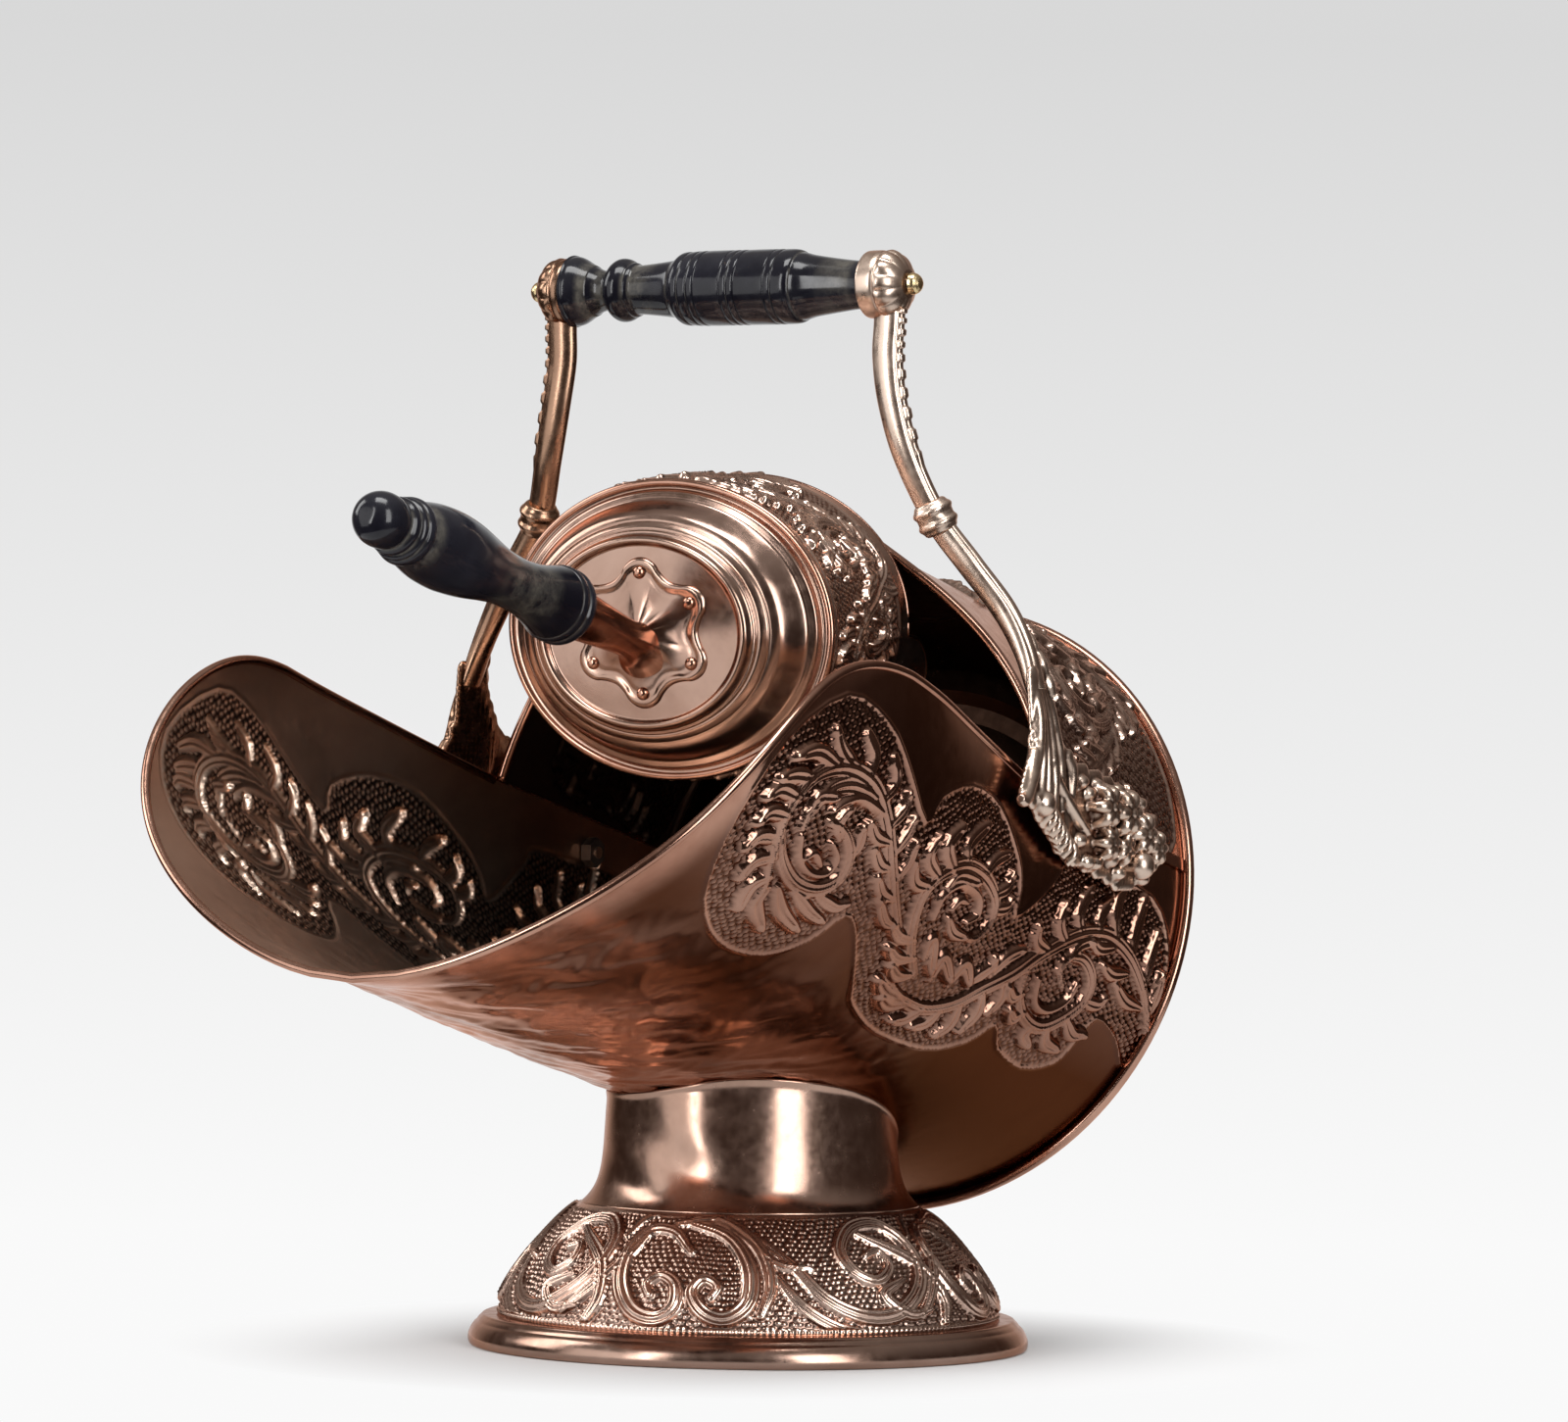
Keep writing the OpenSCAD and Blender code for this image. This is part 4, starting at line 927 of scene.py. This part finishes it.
# the round back: share of the oval's radius, and share of DISH
DISH_LINE = [(1.0, -0.03), (0.993, 0.0), (0.975, 0.035), (0.952, 0.03), (0.942, 0.08), (0.932, 0.15),
             (0.905, 0.185), (0.885, 0.21), (0.868, 0.28), (0.846, 0.40), (0.822, 0.53), (0.803, 0.61),
             (0.786, 0.655), (0.762, 0.69), (0.744, 0.705), (0.736, 0.735), (0.715, 0.785), (0.70, 0.80),
             (0.69, 0.80), (0.682, 0.83), (0.668, 0.84), (0.658, 0.88), (0.648, 0.95), (0.634, 0.985),
             (0.615, 0.985), (0.6, 0.95), (0.588, 0.905), (0.56, 0.90), (0.45, 0.905), (0.3, 0.91),
             (0.12, 0.905), (0.0, 0.905)]
line = smooth_line(DISH_LINE, 5)
da = np.linspace(0, 2 * np.pi, 257)[:-1][None, :]
q, dz = line[:, :1], line[:, 1:] * DISH
ripple = 0.15 * np.sin(3 * da + 1) * np.sin(q * 9) + 0.1 * np.sin(5 * da) * q
outer = to_scoop(xyz(SA * q * np.sin(da), -SB * q * np.cos(da), dz + ripple))
inner = to_scoop(xyz((SA * q - 0.4) * np.sin(da), -(SB * q - 0.4) * np.cos(da), dz - 1))
sheet_piece("scoop_dish", outer, inner, SATIN, "scoop", "scoop_back", wrap=True)

wa = np.linspace(-180, 180, 241)[:-1]
path = scoop_ring(wa, 0 * wa, -0.5)
bead("scoop_back_bead", path, 2, unit(path - ORIGIN), "scoop", "scoop_back_wire", 16, True)
path = scoop_ring(wa, blade_s(wa), -0.5)
bead("scoop_mouth_bead", path, 1, SY, "scoop", "scoop_mouth_wire", 12, True)

# the plate under the handle, with a lobe for each rivet and a raised edge
RX, RY, DTOP, LOBES_ROUND = 30.6, 28.1, 24.3, 6
pa = np.linspace(0, 2 * np.pi, 289)[:-1][None, :]
wave = np.cos(LOBES_ROUND * pa)
lobe = 1.12 + 0.13 * np.sign(wave) * abs(wave) ** 0.8
rho = np.linspace(0, 1, 40)[:, None]
plate_h = 1.6 + 0.6 * bell(rho, 0.92, 0.055) + 4.6 * bell(rho, 0, 0.42) - 0.2 * bell(rho, 0.80, 0.05)
plate_h = np.where(rho > 0.985, 0.2, plate_h)
plate = to_scoop(xyz(RX * lobe * rho * np.sin(pa), -RY * lobe * rho * np.cos(pa), DTOP + plate_h))
make("handle_escutcheon", plate, quad_grid(40, 288, True), SATIN, "scoop", ("handle_plate",))
rv, rq = [], []
dome = smooth_line([(3.1, 0.2), (2.9, 1.1), (2.2, 2.0), (1.2, 2.5), (0.0, 2.6)], 3)
for k in range(LOBES_ROUND):
    a = 2 * math.pi / LOBES_ROUND * k
    rings = lathe_rings(dome, 24) + (RX * math.sin(a), -RY * math.cos(a), DTOP + 1.4)
    rq.append(quad_grid(len(dome), 24, True, sum(len(v) for v in rv)))
    rv.append(to_scoop(rings.reshape(-1, 3)))
make("plate_rivet_heads", np.concatenate(rv), np.concatenate(rq), COPPER, "scoop",
     ("plate_rivets",))

RISE = math.radians(18)
SOCKET_LEN = 68


def to_handle(p):
    """From the handle's own frame, with its axis along Z from the plate, to the shared one."""
    p = np.asarray(p, float)
    y = p[..., 1] * math.cos(RISE) + p[..., 2] * math.sin(RISE) - 5.6
    z = -p[..., 1] * math.sin(RISE) + p[..., 2] * math.cos(RISE) + DTOP + 1.5
    return to_scoop(xyz(p[..., 0], y, z))


# turned profiles: radius and place along the axis
SOCKET = [(15, -3), (13.2, -0.5), (11.4, 2), (9.9, 5.5), (9.0, 10), (8.9, 16), (9.4, 26), (10.6, 42),
          (11.7, 56), (12.6, 66), (12.9, 67.6), (12.3, 68.2), (8, 68.2), (0.01, 68.2)]
WOOD = [(0.01, 0), (14.6, 0), (15.6, 0.4), (17.2, 1.6), (18.0, 3.4), (17.9, 5.4), (17.0, 6.7),
        (16.7, 7.2), (17.0, 7.7), (17.9, 8.6), (18.0, 10.6), (17.3, 12.2), (16.9, 12.6), (17.0, 13.4),
        (16.6, 15), (15.6, 19), (14.2, 25), (12.9, 33), (12.2, 42), (12.2, 50), (12.8, 60), (14.2, 70),
        (16, 80), (17.6, 90), (18.5, 100), (18.6, 108), (17.9, 118), (16.4, 126), (14.8, 131.5),
        (14.2, 133), (14.4, 134), (15.3, 135.2), (15.6, 137), (15.1, 138.8), (14.2, 139.8), (14.0, 140.6),
        (14.4, 141.6), (13.6, 142.8), (12.6, 143.6), (12.7, 144.6), (13.3, 145.6), (13.0, 147.2),
        (12.0, 148.4), (11.4, 149.4), (12.1, 151.5), (12.5, 154), (12.6, 157), (12.2, 160), (10.9, 163.4),
        (8.4, 166.5), (4.6, 168.6), (0.01, 169)]
lathe("handle_cone", SOCKET, to_handle, COPPER, "scoop", ("handle_socket",))
lathe("scoop_handle_wood", [(r, z + SOCKET_LEN) for r, z in WOOD], to_handle, EBONY, "scoop",
      ("scoop_handle",), 128, 4, grooves=True)

# ---------------------------------------------------------------- bail
GRIP_Y, GRIP_Z = -36, 500


def to_grip(p):
    """From a frame whose Z is the grip's axis to the shared one."""
    return xyz(p[..., 2], GRIP_Y + p[..., 0], GRIP_Z + p[..., 1])


def groove(x, r, depth=0.5):
    return [(x, r), (x + 0.6, r - depth), (x + 1.2, r)]


# the grip's profile: place along the axis, and radius
GRIP = [(-82.7, 0.01), (-82.7, 15.8), (-81.6, 16.5), (-79.6, 16.4), (-77, 15.3), (-73.5, 13.3), (-71, 12.1),
        (-70.4, 11.5), (-69.6, 11.1), (-67.5, 10.2), (-65, 9.6), (-62.4, 9.6), (-61.2, 10.4), (-60, 12.2),
        (-58.4, 13.8), (-56.2, 14.9), (-54, 15.1), (-51.8, 14.6), (-50, 13.6), (-49, 12.9), (-48, 12.9),
        (-47, 12.3), (-45.6, 11.7), (-40, 12.1), (-32, 12.9), (-26, 13.7), (-24.2, 14.3), (-22.5, 15.6),
        (-20.6, 16.9), (-19, 17.4)]
GRIP += groove(-17, 17.4, 0.4) + groove(-12, 17.6)
for groove_x in (-8, 6, 10, 14, 30):
    GRIP += groove(groove_x, 17.7)
GRIP += groove(34, 17.6)
GRIP += [(40, 17.5), (42.5, 16.9), (43.6, 16.0), (44.4, 15.8), (46, 15.5), (50, 14.5), (58, 13.3), (66, 12.2),
         (72, 11.5), (78, 11.0), (82.6, 10.9), (82.6, 0.01)]
lathe("bail_grip_wood", [(r, x) for x, r in GRIP], to_grip, EBONY, "grip", ("bail_grip",),
      per=3, grooves=True)

# the arm's middle line and its half widths; PY and PZ are the hinge, WALL_SIDE the wall's x beside it
WALL_SIDE, HEAD_IN, PY, PZ = 150.2, 83, 85, 230.5
ARM = [(89.7, -36, 492), (89.4, -36.2, 481), (89.0, -36.5, 466), (92, -36.5, 445), (98.3, -33, 420),
       (109, -24, 392), (124.6, -18, 370), (139, -12, 350), (149.2, -10, 331), (156, -10, 312)]
ARM_HALF = [(7.6, 4.8), (7.6, 4.8), (7.5, 4.8), (7.2, 4.8), (6.9, 4.8), (6.6, 4.7), (6.6, 5.0), (6.2, 5.4),
            (5.2, 6.2), (4.0, 7.5)]


def blob(p, r, seg=12):
    """A ball, or an ellipsoid when r has three sizes."""
    r = np.broadcast_to(np.asarray(r, float), 3)
    t = np.linspace(0, np.pi, seg)[:, None]
    a = np.linspace(0, 2 * np.pi, 2 * seg, endpoint=False)[None, :]
    v = xyz(np.sin(t) * np.cos(a) * r[0], np.sin(t) * np.sin(a) * r[1], np.cos(t) * r[2])
    return (v + np.asarray(p, float)).reshape(-1, 3), quad_grid(seg, 2 * seg, True)


def cord_of(points, half, hint=(1, 0, 0), sides=12, per=6, offset=None):
    """A tapering cord through the points, with an elliptical section."""
    half = smooth_line(half, per) if np.ndim(half) > 1 else half
    return tube(sweep(smooth_line(points, per), half, hint, sides, offset=offset))


def leaf_x(y, z):
    """How far out the cast leaf's face lies beside the wall."""
    if y >= 20:
        return WALL_SIDE + 5.5 - (y - 20) * 0.02
    x = WALL_SIDE + 3.5 + (20 - y) * math.tan(math.radians(11.3))
    return x - (z - PZ) * math.tan(math.radians(4)) + 2.4


def plate_of(outline, sink, thick=2.2, step=3.0):
    """A plate that follows leaf_x over an outline in Y and Z, as many overlapping balls."""
    o = np.asarray(outline, float)
    ys = np.arange(o[:, 0].min(), o[:, 0].max(), step)
    zs = np.arange(o[:, 1].min(), o[:, 1].max(), step)
    g = np.stack(np.meshgrid(ys, zs, indexing="ij"), -1)
    size = (thick, step * 1.7, step * 1.7)
    return [blob((leaf_x(y, z) - sink, y, z), size, 7) for y, z in g[inside(g, o)]]


# the casting, in Y and Z: outlines of the leaf and of its foot, the leaf's ribs with the x of their upper
# ends on the arm, the lobes down its edge with their sizes, and the fruit about the hinge with their sizes
LEAF_OUT = [(-15, 320), (-16, 300), (-20, 282), (-31, 271), (-36, 265), (-33, 262), (-26, 263),
            (-11, 253), (20, 238), (26, 256), (22, 281), (9, 290), (1, 305), (-3, 320)]
FOOT_OUT = [(14, 240), (24, 237), (60, 228), (76, 223), (94, 223), (104, 229), (109, 238), (104, 250),
            (74, 267), (44, 274), (22, 279), (14, 276)]
LEAF_RIBS = [
    (153, [(-14, 322), (-15, 302), (-19, 284), (-30, 270), (-36, 265)]),
    (154, [(-12, 322), (-12, 302), (-13, 282), (-18, 266), (-24, 262)]),
    (155, [(-9, 322), (-8, 302), (-6, 282), (-7, 266), (-12, 256)]),
    (154, [(-6, 322), (-3, 304), (2, 288), (5, 272), (2, 254)]),
    (153, [(-3, 320), (2, 306), (9, 292), (15, 278), (14, 256)]),
    (None, [(6, 296), (16, 285), (23, 276), (24, 262)]),
    (None, [(2, 280), (12, 268), (26, 256), (42, 246)]),
]
LEAF_LOBES = [(-16, 296, 3.4), (-19, 287, 3.4), (-23, 279, 3.4), (-28, 273, 3.2), (6, 294, 3.4),
              (13, 288, 3.4), (20, 282, 3.6)]
SEED_PODS = [(139.5, -7, 351, 2.2), (144.5, -5, 342, 2.6), (149.5, -3, 333, 2.9), (153.5, -1, 324, 3.2),
             (156, 1, 315, 3.5)]
TAIL = [(-21, 284), (-28, 273), (-35, 265), (-41, 261.5), (-46, 262.5)]
TAIL_HALF = [(3.2, 3.2), (3.6, 3.6), (3.6, 3.6), (3.2, 3.2), (2.2, 2.2)]
FRUIT = [(4, 15, 11), (-14, 25, 12), (-32, 28, 11), (-11, 8, 8), (20, 8, 9), (-28, 11, 9)]
COLLAR = [(-6.2, 8.2, 1.7), (-3.6, 9.9, 2.0), (-0.4, 9.0, 2.0), (2.9, 9.9, 2.0), (5.8, 8.3, 1.7)]
PETALS = 6


def teeth(t, a):
    """Relief of the arm: a toothed strip down its outer face over the upper half, a groove on either side."""
    strip = np.exp(-((np.cos(a) - 1) / 0.10) ** 4)
    saw = ease((np.cos(t * 2 * np.pi * 22) + 0.5) * 1.2)
    raised = 1.5 * strip * (0.25 + 0.75 * saw) * (1 - ease((t - 0.42) / 0.06))
    return raised - 0.5 * bell(abs(np.sin(a)), 0.55, 0.13) * (np.cos(a) > 0)


def collar():
    """Rings and a cup across the arm."""
    middle = np.array(ARM[5])
    d = unit(middle - ARM[4])
    ref = unit(np.cross(d, (0, 1, 0)))
    parts = []
    for off, r, w in COLLAR:
        q = middle + d * off
        path = np.array([q - d * w, q - d * w * 0.5, q, q + d * w * 0.5, q + d * w])
        half = np.array([(r - 1.2,) * 2, (r - 0.3,) * 2, (r,) * 2, (r - 0.3,) * 2, (r - 1.2,) * 2])
        parts.append(tube(sweep(path, half, ref, 28)))
    return parts


def rosette(x, y, z, r, turn):
    """A fruit with petals over it and a button in the middle."""
    parts = [blob((x, y, z), (r * 0.86, r * 0.8, r * 0.8), 14)]
    widths = [(r * 0.2, r * 0.2), (r * 0.3, r * 0.3), (r * 0.16, r * 0.16)]
    for i in range(PETALS):
        a = 2 * math.pi * (i + turn) / PETALS
        cy, cz = y + r * 0.62 * math.cos(a), z + r * 0.62 * math.sin(a)
        ty, tz = y + r * 0.98 * math.cos(a), z + r * 0.98 * math.sin(a)
        root = (x + r * 0.62, y + 0.1 * (cy - y), z + 0.1 * (cz - z))
        petal = [root, (x + r * 0.66, cy, cz), (x + r * 0.05, ty, tz)]
        parts.append(cord_of(petal, widths, (1, 0.2, 0.1), 10, 4))
    return parts + [blob((x + r * 0.78, y, z), (r * 0.24,) * 3, 8)]


def arm_parts():
    """The right casting's parts, which overlap and are then fused."""
    parts = collar() + plate_of(LEAF_OUT, 0.6) + plate_of(FOOT_OUT, 1.6)
    for top_x, rib in LEAF_RIBS:
        pts = [(leaf_x(y, z) + 1.2 if z < 318 else top_x, y, z) for y, z in rib]
        swell = [math.sin(math.pi * i / (len(pts) - 1)) for i in range(len(pts))]
        parts.append(cord_of(pts, [(2.2 + 1.4 * k, 2.4 + 0.8 * k) for k in swell]))
    for y, z, r in LEAF_LOBES:
        parts.append(blob((leaf_x(y, z) + 1, y, z), (2.6, r, r)))
    # seed pods up the arm's rear edge, and the curled tail at the leaf's tip
    for x, y, z, r in SEED_PODS:
        pod = [(x - 1.6, y - 0.5, z + 6), (x, y, z), (x + 1.8, y + 1.5, z - 5.5)]
        parts.append(cord_of(pod, [(r * 0.55,) * 2, (r,) * 2, (r * 0.6,) * 2]))
    parts.append(cord_of([(leaf_x(y, z) + 0.5, y, z) for y, z in TAIL], TAIL_HALF))
    # ball and rope band in front of the fruit
    parts.append(blob((leaf_x(-18, 258) + 1.5, -16, 260), 6.2))
    for i in range(7):
        y, z = -8 + 5.2 * i, 256.5 - 3.3 * i
        x = leaf_x(y, z)
        strand = [(x + 0.5, y - 2.5, z - 5.2), (x + 4.2, y - 0.6, z), (x + 0.5, y + 2.2, z + 6)]
        parts.append(cord_of(strand, (1.9, 1.9), per=4))
    for dy, dz, r in FRUIT:
        parts += rosette(WALL_SIDE + 5, PY + dy, PZ + dz, r, 0.5 * (dy % 2))
    # small berries along the foot's two edges
    for i in range(11):
        a = i / 10
        y, z = 26 + 80 * a, 238 + 6 * math.sin(i * 1.9) - 9 * a
        parts.append(blob((WALL_SIDE + 5.5, y, z), (4.2, 5.0, 3.6), 8))
        y, z = 28 + 74 * a, 268 + 3 * math.sin(i * 2.3) - 14 * a * a
        parts.append(blob((WALL_SIDE + 5.5, y, z), (4.0, 4.6, 3.4), 8))
    return parts


RELIEF_ROOM = 3.8          # the tallest leaf of the wall's relief, and a little air
HINGE_STEPS = np.radians(np.arange(0, 76, 7.5))


def wall_clear(y, z):
    """The least x at which a point of the casting clears the dressed wall and hood as the bail swings."""
    need = np.zeros(len(y))
    for turn in HINGE_STEPS:
        ty = PY + (y - PY) * math.cos(turn) + (z - PZ) * math.sin(turn) - BACK_Y
        tz = PZ - (y - PY) * math.sin(turn) + (z - PZ) * math.cos(turn) - BACK_Z
        high = ty * math.sin(TILT) + tz * math.cos(TILT)
        s = -ty * math.cos(TILT) + tz * math.sin(TILT)
        r = TUBE_R + 0 * s
        for _ in range(5):
            x = np.sqrt(np.maximum(r * r - high * high, 0))
            phi = np.degrees(np.arctan2(x, -high))
            hood = (phi > 180 - HOOD_SPAN) & (s < hood_s(180 - phi) + 3)
            wall_r = bucket_r(phi, np.clip(s, 0, LIP_REACH))
            r = np.where(hood, hood_r(180 - phi, np.clip(s, 0, 400)), wall_r)
        x = np.sqrt(np.maximum(r * r - high * high, 0))
        on = (s > -4) & (s < LIP_REACH) & (hood | (phi < edge_phi(s) + 2))
        need = np.maximum(need, np.where(on, x + RELIEF_ROOM, 0))
    return need


def mark_hollows(o, rounds=14, depth=0.00045):
    """Applies the modifiers, then gives each point how far it lies below its smoothed surroundings."""
    fused = bpy.data.meshes.new_from_object(o.evaluated_get(bpy.context.evaluated_depsgraph_get()))
    o.modifiers.clear()
    o.data = fused
    count = len(fused.vertices)
    edges = np.empty(len(fused.edges) * 2, np.int32)
    fused.edges.foreach_get("vertices", edges)
    e0, e1 = edges.reshape(-1, 2).T
    co = np.empty(count * 3)
    fused.vertices.foreach_get("co", co)
    co = co.reshape(-1, 3)
    clear = np.maximum(abs(co[:, 0]), wall_clear(co[:, 1] * 1000, co[:, 2] * 1000) / 1000)
    co[:, 0] = np.sign(co[:, 0]) * np.minimum(clear, WIDEST / 1000)
    fused.vertices.foreach_set("co", co.ravel())
    fused.update()
    nrm = np.empty(count * 3)
    fused.vertices.foreach_get("normal", nrm)
    nrm = nrm.reshape(-1, 3)
    degree = np.maximum(np.bincount(np.concatenate([e0, e1]), minlength=count), 1)
    soft = co.copy()
    for _ in range(rounds):
        sums = [np.bincount(e0, soft[e1, k], count) + np.bincount(e1, soft[e0, k], count) for k in range(3)]
        soft = np.stack(sums, -1) / degree[:, None]
    mark(fused, "recess", clamp01(((soft - co) * nrm).sum(-1) / depth))


GADROONS = 12


def gadroon(rings):
    """Swells round the cap's shoulder."""
    a = np.linspace(0, 2 * np.pi, rings.shape[1], endpoint=False)[None, :]
    t = clamp01((rings[..., 2] - 5) / 3) * clamp01((17.4 - rings[..., 2]) / 4)
    k = 1 + 0.075 * t * (abs(np.cos(a * GADROONS / 2)) ** 0.7 - 0.5)
    return rings * xyz(k, k, 1)


VOXEL = 0.0007
for dir_, side_name, cast, start in ((1, "right", BRONZE, -4.2), (-1, "left", BRONZE_DARK, 0.1)):
    verts, faces = cord_of(ARM, ARM_HALF, (1, 0, 0), 64, 30, teeth)
    make("bail_arm_bar_" + side_name, verts * (dir_, 1, 1), faces, cast, "bail")
    vs, qs, count = [], [], 0
    for v, q in arm_parts():
        vs.append(v * (dir_, 1, 1))
        qs.append(q + count)
        count += len(v)
    o = make("bail_arm_cast_" + side_name, np.concatenate(vs), np.concatenate(qs), cast, "bail",
             ("bail_arm_" + side_name,))
    md = o.modifiers.new("fuse", "REMESH")
    md.mode = "VOXEL"
    md.voxel_size = VOXEL
    md.use_smooth_shade = True
    sm = o.modifiers.new("soften", "SMOOTH")
    sm.factor, sm.iterations = 0.5, 2
    mark_hollows(o)
    # the cap on the grip's end, whose inner end is at start
    HEAD = [(0.01, start), (12.5, start), (14.4, start + 0.1), (15.4, start + 0.6), (15.8, start + 1.6),
            (15.9, 1.6), (15.8, 3.6), (15.4, 4.8), (15.1, 5.3), (15.6, 6.0), (15.5, 8.0), (14.6, 10.4),
            (12.8, 12.8), (10.2, 14.9), (7.4, 16.3), (5.6, 16.8), (0.01, 16.9)]

    def to_head(p, s=dir_):
        return xyz(s * (HEAD_IN + p[..., 2]), GRIP_Y + p[..., 0] * s, GRIP_Z + p[..., 1])
    lathe("bail_cap_" + side_name, HEAD, to_head, cast, "bail", (), 144, 4, wobble=gadroon)


# ---------------------------------------------------------------- floor, world and lamps
def seen(nt):
    """1 for rays from the camera, off metal and through glass; 0 for the rest."""
    lp = node(nt, "ShaderNodeLightPath")
    m1 = node(nt, "ShaderNodeMath", operation="MAXIMUM")
    nt.links.new(lp.outputs["Is Camera Ray"], m1.inputs[0])
    nt.links.new(lp.outputs["Is Glossy Ray"], m1.inputs[1])
    m2 = node(nt, "ShaderNodeMath", operation="MAXIMUM")
    nt.links.new(m1.outputs[0], m2.inputs[0])
    nt.links.new(lp.outputs["Is Transmission Ray"], m2.inputs[1])
    return m2.outputs[0]


PALE_LOW, PALE_HIGH = (0.95, 0.95, 0.95), (0.69, 0.69, 0.69)
DIM_LOW, DIM_MID, DIM_HIGH = (0.05, 0.036, 0.03), (0.085, 0.062, 0.052), (0.42, 0.40, 0.38)
FILL = (0.42, 0.42, 0.42)
FLOOR_R, FAR_FROM, FAR_TO, FLOOR_SIDES = 0.66, 0.135, 0.28, 96


def floor_paint():
    """White paint under the object, where its shadow falls; further out, the backdrop's own pale tone."""
    mat, nt, b = new_mat("floor_paint")
    b.inputs["Base Color"].default_value = (0.8, 0.8, 0.8, 1)
    b.inputs["Roughness"].default_value = 0.9
    b.inputs["Specular IOR Level"].default_value = 0.1
    length = node(nt, "ShaderNodeVectorMath", operation="LENGTH")
    nt.links.new(coords(nt), length.inputs[0])
    far = span(nt, length.outputs["Value"], 0, 1, FAR_FROM, FAR_TO)
    fac = node(nt, "ShaderNodeMath", operation="MULTIPLY")
    nt.links.new(far, fac.inputs[0])
    nt.links.new(seen(nt), fac.inputs[1])
    em = node(nt, "ShaderNodeEmission", inputs={"Color": (*PALE_LOW, 1), "Strength": 1.0})
    mx = node(nt, "ShaderNodeMixShader")
    nt.links.new(fac.outputs[0], mx.inputs[0])
    nt.links.new(b.outputs[0], mx.inputs[1])
    nt.links.new(em.outputs[0], mx.inputs[2])
    nt.links.new(mx.outputs[0], nt.nodes["Material Output"].inputs["Surface"])
    return mat


me = bpy.data.meshes.new("floor")
ring = []
for k in range(FLOOR_SIDES):
    a = k * math.pi / (FLOOR_SIDES // 2)
    ring.append((FLOOR_R * math.cos(a), FLOOR_R * math.sin(a), 0))
me.from_pydata(ring, [], [tuple(range(FLOOR_SIDES))])
floor = bpy.data.objects.new("floor", me)
scene.collection.objects.link(floor)
floor.location.z = -0.0002
me.materials.append(floor_paint())

world = bpy.data.worlds.new("world")
scene.world = world
world.use_nodes = True
wt = world.node_tree
bg = wt.nodes["Background"]
tc = node(wt, "ShaderNodeTexCoord")
# the pale backdrop stands behind the object as the camera looks; the rest of the studio is dim
dot = node(wt, "ShaderNodeVectorMath", operation="DOT_PRODUCT")
wt.links.new(tc.outputs["Generated"], dot.inputs[0])
dot.inputs[1].default_value = tuple(-back)
pale_area = span(wt, dot.outputs["Value"], 0, 1, 0.72, 0.93)
sep = node(wt, "ShaderNodeSeparateXYZ")
wt.links.new(tc.outputs["Generated"], sep.inputs[0])
tone = ramp(wt, span(wt, sep.outputs["Z"], 0, 1, -0.07, 0.10), [(0.0, PALE_LOW), (1.0, PALE_HIGH)])
dim = [(0.0, DIM_LOW), (0.45, DIM_MID), (1.0, DIM_HIGH)]
studio = ramp(wt, span(wt, sep.outputs["Z"], 0, 1, -0.2, 1.0), dim)
col = mix(wt, seen(wt), FILL, mix(wt, pale_area, studio, tone))
rays = node(wt, "ShaderNodeLightPath")
col = mix(wt, rays.outputs["Is Camera Ray"], col, tone)
wt.links.new(col, bg.inputs["Color"])
bg.inputs["Strength"].default_value = 1.0

AIM = Vector((0, 0, 0.25))
# name, azimuth, elevation, distance, size, power
LAMPS = [
    ("strip_right", 61, 14, 3.0, (1.1, 2.6), 62),
    ("strip_left", -12, 14, 3.0, (0.45, 2.4), 32),
    ("panel_front", -34, 6, 3.2, (1.9, 2.6), 22),
    ("box_left", -72, 30, 3.0, (1.2, 1.6), 30),
    ("top", 20, 74, 2.6, (1.6, 1.0), 50),
]
for name, az, el, dist, size, power in LAMPS:
    d = bpy.data.lights.new(name, "AREA")
    d.shape = "RECTANGLE"
    d.size, d.size_y = size
    d.energy = power
    o = bpy.data.objects.new(name, d)
    scene.collection.objects.link(o)
    a, e = math.radians(az), math.radians(el)
    v = Vector((math.sin(a) * math.cos(e), -math.cos(a) * math.cos(e), math.sin(e)))
    o.location = AIM + v * dist
    o.rotation_mode = "QUATERNION"
    o.rotation_quaternion = v.to_track_quat("Z", "Y")
    o.visible_camera = False
